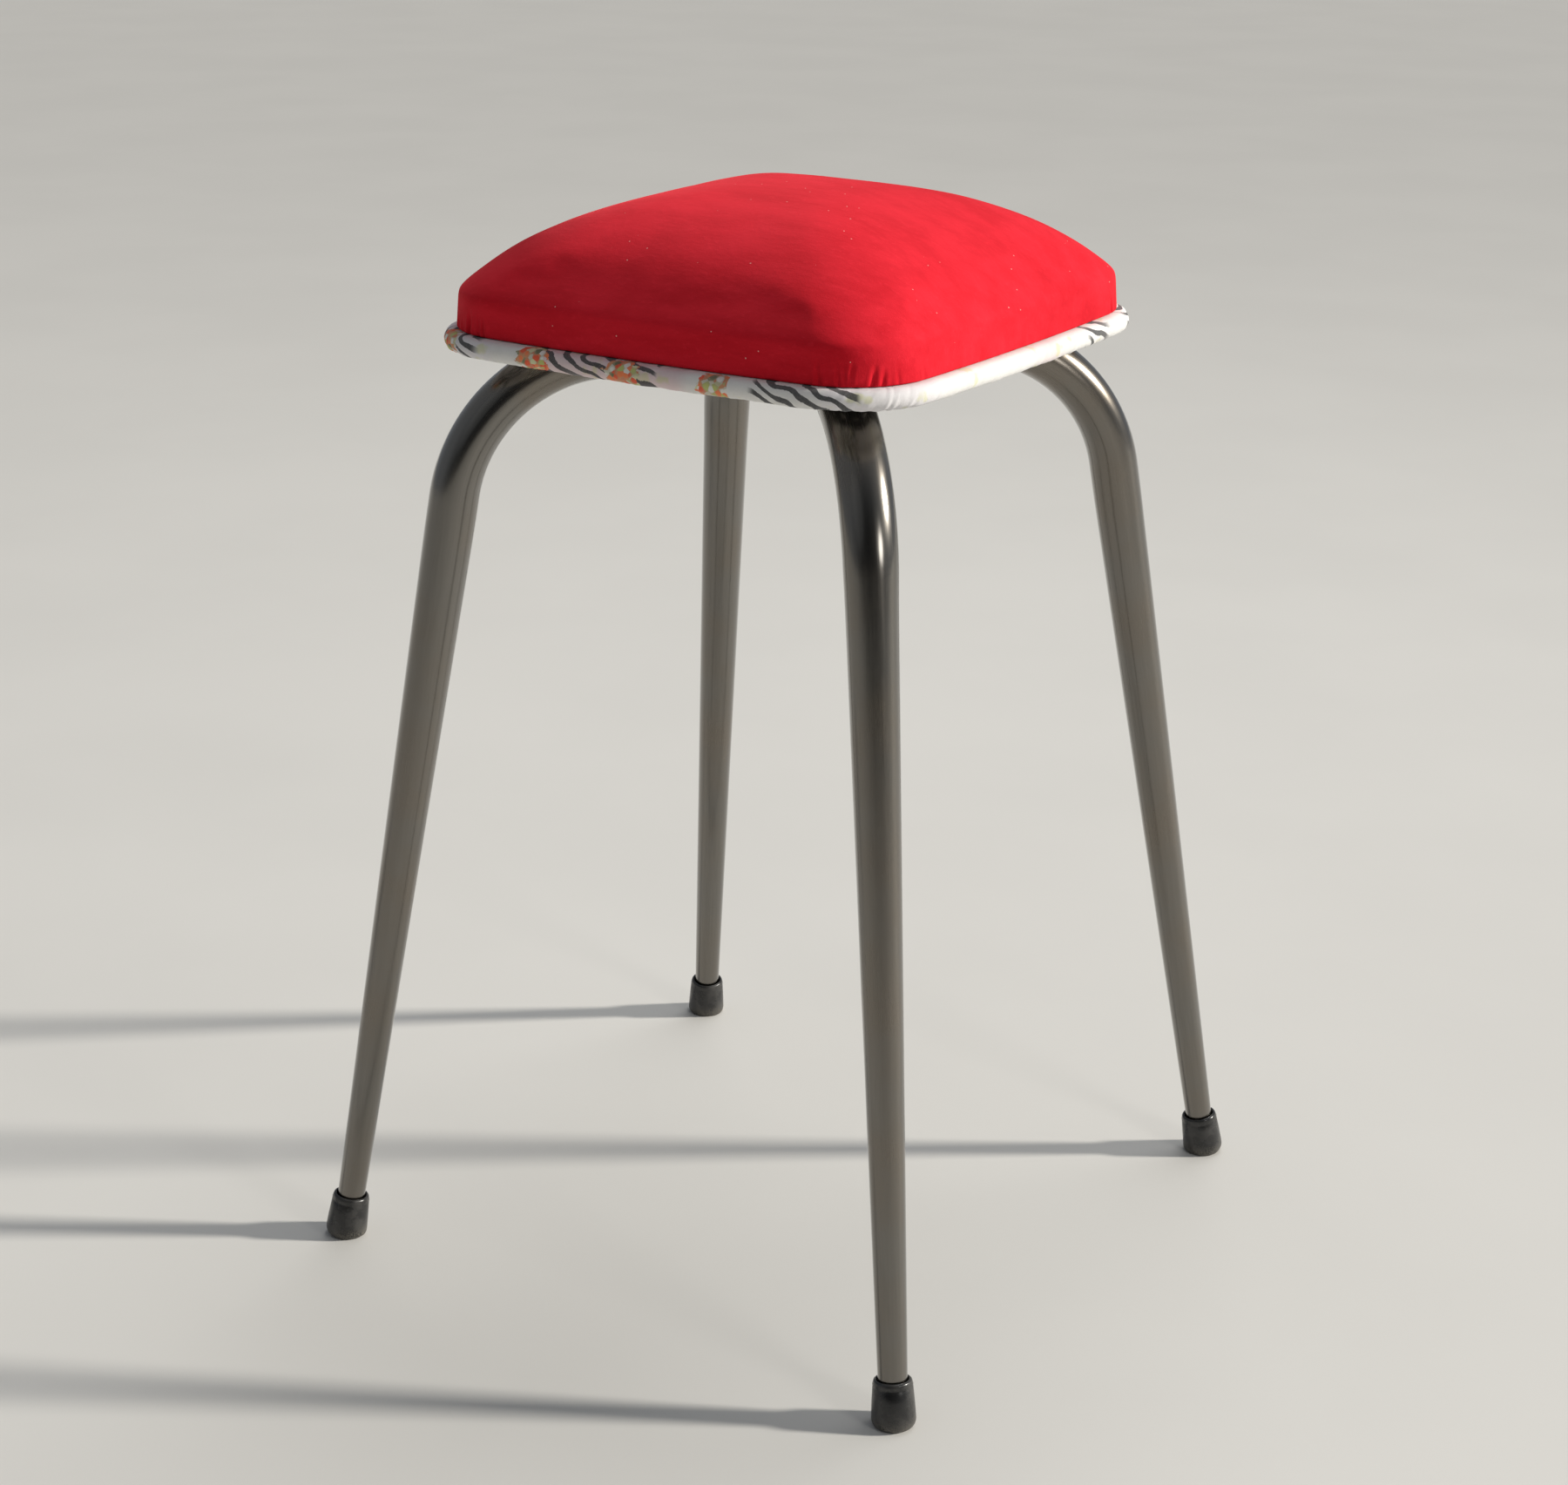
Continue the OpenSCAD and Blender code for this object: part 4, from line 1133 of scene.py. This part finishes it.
def screwMesh():
    # pan head with a cross recess, a plain neck and a turned thread with a point; its seat is at z = 0
    r, h, shank = screw["headRadius"], screw["headHeight"], screw["shankRadius"]
    profile = [(0, -h), (r * 0.5, -h * 0.985), (r * 0.78, -h * 0.88), (r * 0.93, -h * 0.62), (r, -h * 0.3), (r, 0),
               (shank, 0)]
    top = (plateHigh.z - plateLow.z) + 0.0005 + screw["bite"]
    level = 0.0032
    while level < top - 0.0035:
        profile += [(shank * 0.8, level), (shank, level + screw["thread"] * 0.35),
                    (shank * 0.8, level + screw["thread"] * 0.7)]
        level += screw["thread"]
    profile += [(shank * 0.72, level), (0, top)]
    head = addPiece("screw_head", latheMesh("screw_head", profile, 40), zincSteel)
    cutters = []
    for turn in (0, 90):
        length, width, depth = screw["recessLength"], screw["recessWidth"], screw["recessDepth"]
        points = [(sx * length * k, sy * width * k, z) for z, k in ((-h - 0.001, 1.25), (-h + depth, 0.55))
                  for sx, sy in ((-1, -1), (1, -1), (1, 1), (-1, 1))]
        box = mended(meshFrom("recess", points, [(0, 3, 2, 1), (4, 5, 6, 7), (0, 1, 5, 4), (1, 2, 6, 5), (2, 3, 7, 6),
                                                 (3, 0, 4, 7)], False))
        box.transform(turnedBy(turn))
        cutter = addPiece("recess", box, zincSteel)
        cut = head.modifiers.new("recess", "BOOLEAN")
        cut.object, cut.operation, cut.solver = cutter, "DIFFERENCE", "EXACT"
        cutters.append(cutter)
    mesh = evaluated(head, "screw")
    for piece in (head, *cutters):
        drop(piece)
    return mesh


def makeScrews():
    edge, pitch = plateHigh.x - screw["edge"], screw["pitch"] / 2
    rng = random.Random(5)
    places = []
    for turn in (0, 90, 180, 270):
        for side in (-1, 1):
            spot = turnedBy(turn) @ Vector((edge, side * pitch, plateLow.z))
            places.append((tuple(spot), rng.uniform(0, math.pi), 0.0))
    piece = copiesOf("wood_screws", screwMesh(), places, zincSteel, smooth=False)
    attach(piece, "root")
    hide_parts("plate_screws")


staple = {
    "width": 0.010, "leg": 0.008, "wire": 0.0012, "thick": 0.0006, "perSide": 8, "bend": 0.0009,
    "pipingRow": 0.012, "dustRow": 0.024,
}


def stapleMesh():
    # flat wire bent twice: a crown with rounded shoulders and two chisel-pointed legs, crown face at z = 0
    half, bend, t, w = staple["width"] / 2, staple["bend"], staple["thick"], staple["wire"] / 2
    outer = [(-half, staple["leg"])] + arcPoints((-half + bend, bend), bend, 180, 270, 4)
    outer += arcPoints((half - bend, bend), bend, 270, 360, 4) + [(half, staple["leg"])]
    inner = [(-half + t, staple["leg"] - 0.0009)] + arcPoints((-half + bend, bend), bend - t, 180, 270, 4)
    inner += arcPoints((half - bend, bend), bend - t, 270, 360, 4) + [(half - t, staple["leg"] - 0.0009)]
    points, faces = [], []
    for (ox, oz), (ix, iz) in zip(outer, inner):
        points += [(ox, -w, oz), (ox, w, oz), (ix, w, iz), (ix, -w, iz)]
    for k in range(len(outer) - 1):
        for i in range(4):
            n = (i + 1) % 4
            faces.append((4 * k + i, 4 * k + n, 4 * k + 4 + n, 4 * k + 4 + i))
    faces += [(3, 2, 1, 0), tuple(4 * (len(outer) - 1) + i for i in range(4))]
    return mended(meshFrom("staple", points, faces, False))


def makeStaples(name, node, row):
    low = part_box(node)[0].z
    usable = cornerCentre - staple["width"] / 2
    rng = random.Random(int(row * 1e4))
    places = []
    for quarter in range(4):
        turn = math.radians(90 * quarter)
        for i in range(staple["perSide"]):
            x = usable * (2 * i / (staple["perSide"] - 1) - 1)
            spot = turnedBy(90 * quarter) @ Vector((x, halfWidth - seat["sideBow"] / 2 - row, low))
            places.append((tuple(spot), turn + rng.uniform(-0.05, 0.05), 0.0))
        outwards = Vector((1, 1, 0)).normalized() * (seat["cornerRadius"] - row)
        corner = turnedBy(90 * quarter) @ (Vector((cornerCentre, cornerCentre, 0)) + outwards)
        places.append(((corner.x, corner.y, low), turn - math.pi / 4, 0.0))
    piece = copiesOf(name, stapleMesh(), places, zincSteel, smooth=False)
    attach(piece, "root")
    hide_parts(node)


weld = {"start": 0.025, "stop": 0.005, "pitch": 0.0021, "radius": 0.0024, "height": 0.0022, "seed": 4,
        "plateCorner": 0.012}


def rippleMesh():
    # one solidified wave of a weld: a squashed bead that leans along the seam
    work = bmesh.new()
    bmesh.ops.create_icosphere(work, subdivisions=2, radius=1.0)
    mesh = bpy.data.meshes.new("ripple")
    work.to_mesh(mesh)
    work.free()
    for vertex in mesh.vertices:
        x, y, z = vertex.co
        vertex.co = (x * 0.0016 + z * 0.0007, y * weld["radius"], z * weld["radius"] * 0.95)
    return mesh


def makeWelds():
    reach = (plateHigh.x - weld["plateCorner"]) * math.sqrt(2) + weld["plateCorner"]
    end = min(reach, leg["bendStart"]) - weld["stop"]
    out = math.sqrt(leg["topRadius"] ** 2 - (leg["topRadius"] - weld["height"]) ** 2)
    rng = random.Random(weld["seed"])
    places = []
    for azimuth in corners.values():
        for side in (-1, 1):
            at = weld["start"] + 0.001
            while at < end:
                local = Vector((at, side * (out * 0.93 + rng.uniform(-0.0002, 0.0002)), plateLow.z - 0.0013))
                spot = turnedBy(azimuth) @ local
                places.append((tuple(spot), math.radians(azimuth) + rng.uniform(-0.12, 0.12), side * 0.75))
                at += weld["pitch"] * rng.uniform(0.85, 1.12)
    piece = copiesOf("weld_ripples", rippleMesh(), places, weldSteel, 0.9, 1.08, weld["seed"])
    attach(piece, "root")
    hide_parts("weld_beads")


makeScrews()
makeStaples("staples_in_piping", "piping_staples", staple["pipingRow"])
makeStaples("staples_in_dust_cover", "dust_cover_staples", staple["dustRow"])
makeWelds()
print("screws, staples and welds placed")


# mounting plate and board

def makePlate():
    # the CAD plate's own shape with its loose triangles merged and its cut edges broken
    mesh = mended(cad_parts["mounting_plate"].data.copy(), 1e-5)
    work = bmesh.new()
    work.from_mesh(mesh)
    bmesh.ops.dissolve_limit(work, angle_limit=math.radians(2), verts=work.verts, edges=work.edges)
    work.to_mesh(mesh)
    work.free()
    piece = addPiece("plate_sheet", mesh, plateSteel)
    edge = piece.modifiers.new("edge", "BEVEL")
    edge.width, edge.segments, edge.limit_method, edge.angle_limit = 0.0004, 2, "ANGLE", math.radians(50)
    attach(piece, "root")
    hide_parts("mounting_plate")


makePlate()
for name, finish in (("seat_board", plywood), *(("foot_washer_" + corner, zincSteel) for corner in corners)):
    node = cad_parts[name]
    node.data.materials.clear()
    node.data.materials.append(finish)


# dust cover

dust = {
    "inset": 0.0155, "thick": 0.00035, "steps": 72, "velvetTurn": 0.030, "flangeEdge": 0.0186, "ramp": 0.0035,
    "wrinkle": 0.00055,
    "slackStart": (0.026, 0.036), "slackEnd": (0.060, 0.070),   # how far in from the edge the cloth hangs free
}


def makeDustCover():
    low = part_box("dust_cover")[0].z
    onFlange, onVelvet, onBoard = low, velvetLow.z - 0.0005, boardLow.z - 0.0005
    edge = halfWidth - dust["inset"]

    def step(x, start, end):
        way = min(1.0, max(0.0, (x - start) / (end - start)))
        return way * way * (3 - 2 * way)

    def place(side, along, ring):
        x, y = outlineSpot(side, along, -dust["inset"])
        inset = dust["inset"] + (1 - ring) * edge
        z = onFlange + (onVelvet - onFlange) * step(inset, dust["flangeEdge"], dust["flangeEdge"] + dust["ramp"])
        z += (onBoard - onVelvet) * step(inset, dust["velvetTurn"], dust["velvetTurn"] + dust["ramp"])
        # slack between the staples and the plate hangs a little
        free = step(inset, *dust["slackStart"]) * (1 - step(inset, *dust["slackEnd"]))
        edgeFree = step(1 - ring, 0.0, 0.03)
        crease = noise.noise(Vector((along * 9 + side * 5, inset * 40, 2.0)))
        slack = abs(noise.noise(Vector((x * ring, y * ring, 0)) * 26)) * free
        z -= dust["wrinkle"] * (1.6 * slack + 0.35 * max(0.0, crease) * free * edgeFree)
        return x * ring, y * ring, z

    points, faces = [], []
    gridSheet(points, faces, dust["steps"], place, True)
    piece = addPiece("dust_sheet", meshFrom("dust_sheet", points, faces), dustCloth)
    wall = piece.modifiers.new("cloth", "SOLIDIFY")
    wall.thickness, wall.offset = dust["thick"], 1
    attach(piece, "root")
    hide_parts("dust_cover")


makeDustCover()


# floor, light and camera

studio = {
    "backdrop": (1.9, 1.86, 1.78),   # what the camera sees past the floor; it lights nothing
    "floor": (0.66, 0.645, 0.61), "sky": (0.80, 0.86, 0.95), "skyPower": 0.3, "shade": 0.12,
    "sunPower": 4.2, "sunSoft": 5.0, "sunHeight": 24.0, "fillPower": 1.0, "topPower": 22.0, "stripPower": 8.0,
}
view = {
    "turn": 32.81, "drop": 19.418, "roll": 0.304, "lens": 68.07, "sensor": 36.0,
    "place": (0.8773, -1.3670, 0.8628),
}


def makeFloor():
    points = [(-9, -9, 0), (9, -9, 0), (9, 9, 0), (-9, 9, 0)]
    floor = addPiece("floor", meshFrom("floor", points, [(0, 1, 2, 3)]), None)
    material, tree, shader, where = newMaterial("paleFloor", studio["floor"])
    clouds = useGroup(tree, patches, Vector=where, Scale=3.0, Detail=5.0, Low=0.3, High=0.7)["Mask"]
    fine = useGroup(tree, grain, Vector=where, Stretch=(1.0, 1.0, 1.0), Scale=500.0)["Mask"]
    pale = [(*(c * k for c in studio["floor"]), 1) for k in (0.985, 1.015)]
    tree.links.new(mixed(tree, clouds, *pale), shader.inputs["Base Color"])
    tree.links.new(remap(tree, fine, 0.3, 0.7, 0.7, 0.9, False), shader.inputs["Roughness"])
    floor.data.materials.append(material)


def addLight(name, turn, height, away, size, power, colour=(1, 1, 1)):
    # an area light that looks at the seat; turn is counted from the camera's own side, to its right
    lamp = bpy.data.lights.new(name, "AREA")
    lamp.shape, lamp.size, lamp.energy, lamp.color = "DISK", size, power, colour
    made = bpy.data.objects.new(name, lamp)
    scene.collection.objects.link(made)
    around, up = math.radians(view["turn"] - 90 + turn), math.radians(height)
    target = Vector((0, 0, 0.42))
    made.location = target + away * Vector((math.cos(around) * math.cos(up), math.sin(around) * math.cos(up),
                                            math.sin(up)))
    made.rotation_mode = "QUATERNION"
    made.rotation_quaternion = (target - made.location).to_track_quat("-Z", "Y")


def makeLight():
    world = bpy.data.worlds.new("studio")
    world.use_nodes = True
    tree = world.node_tree
    back = tree.nodes["Background"]
    # a studio that is darker behind the camera, so the tubes get a dark core between light edges
    ahead = put(tree, "ShaderNodeTexCoord").outputs["Generated"]
    turn = math.radians(view["turn"])
    toCamera = vectorCalc(tree, "DOT_PRODUCT", ahead, (math.sin(turn), -math.cos(turn), 0))
    level = remap(tree, toCamera, 0.15, 0.95, 1.0, studio["shade"])
    sky = mixed(tree, level, (0, 0, 0, 1), studio["sky"])
    seen = put(tree, "ShaderNodeLightPath").outputs["Is Camera Ray"]
    tree.links.new(mixed(tree, seen, sky, studio["backdrop"]), back.inputs[0])
    back.inputs[1].default_value = studio["skyPower"]
    scene.world = world
    sun = bpy.data.lights.new("sun", "SUN")
    sun.energy, sun.angle, sun.color = studio["sunPower"], math.radians(studio["sunSoft"]), (1, 0.96, 0.89)
    made = bpy.data.objects.new("sun", sun)
    scene.collection.objects.link(made)
    up = math.radians(studio["sunHeight"])
    source = Vector((math.cos(turn) * math.cos(up), math.sin(turn) * math.cos(up), math.sin(up)))
    made.rotation_mode = "QUATERNION"
    made.rotation_quaternion = (-source).to_track_quat("-Z", "Y")
    addLight("fill", -40, 30, 3.0, 2.0, studio["fillPower"], (0.9, 0.95, 1))
    addLight("top", 150, 65, 2.6, 1.6, studio["topPower"])
    addLight("strip", 42, 16, 2.4, 0.6, studio["stripPower"], (1, 0.98, 0.95))   # the pale band down each tube
    scene.view_settings.view_transform = "Standard"


def makeCamera():
    lens = bpy.data.cameras.new("camera")
    lens.lens, lens.sensor_width, lens.clip_start, lens.clip_end = view["lens"], view["sensor"], 0.05, 60
    eye = bpy.data.objects.new("camera", lens)
    scene.collection.objects.link(eye)
    turn, drop, roll = (math.radians(view[key]) for key in ("turn", "drop", "roll"))
    ahead = Vector((-math.sin(turn) * math.cos(drop), math.cos(turn) * math.cos(drop), -math.sin(drop)))
    right = Vector((math.cos(turn), math.sin(turn), 0))
    upward = right.cross(ahead)
    right, upward = right * math.cos(roll) + upward * math.sin(roll), upward * math.cos(roll) - right * math.sin(roll)
    eye.matrix_world = Matrix.Translation(view["place"]) @ Matrix((right, upward, -ahead)).transposed().to_4x4()
    scene.camera = eye


makeFloor()
makeLight()
makeCamera()
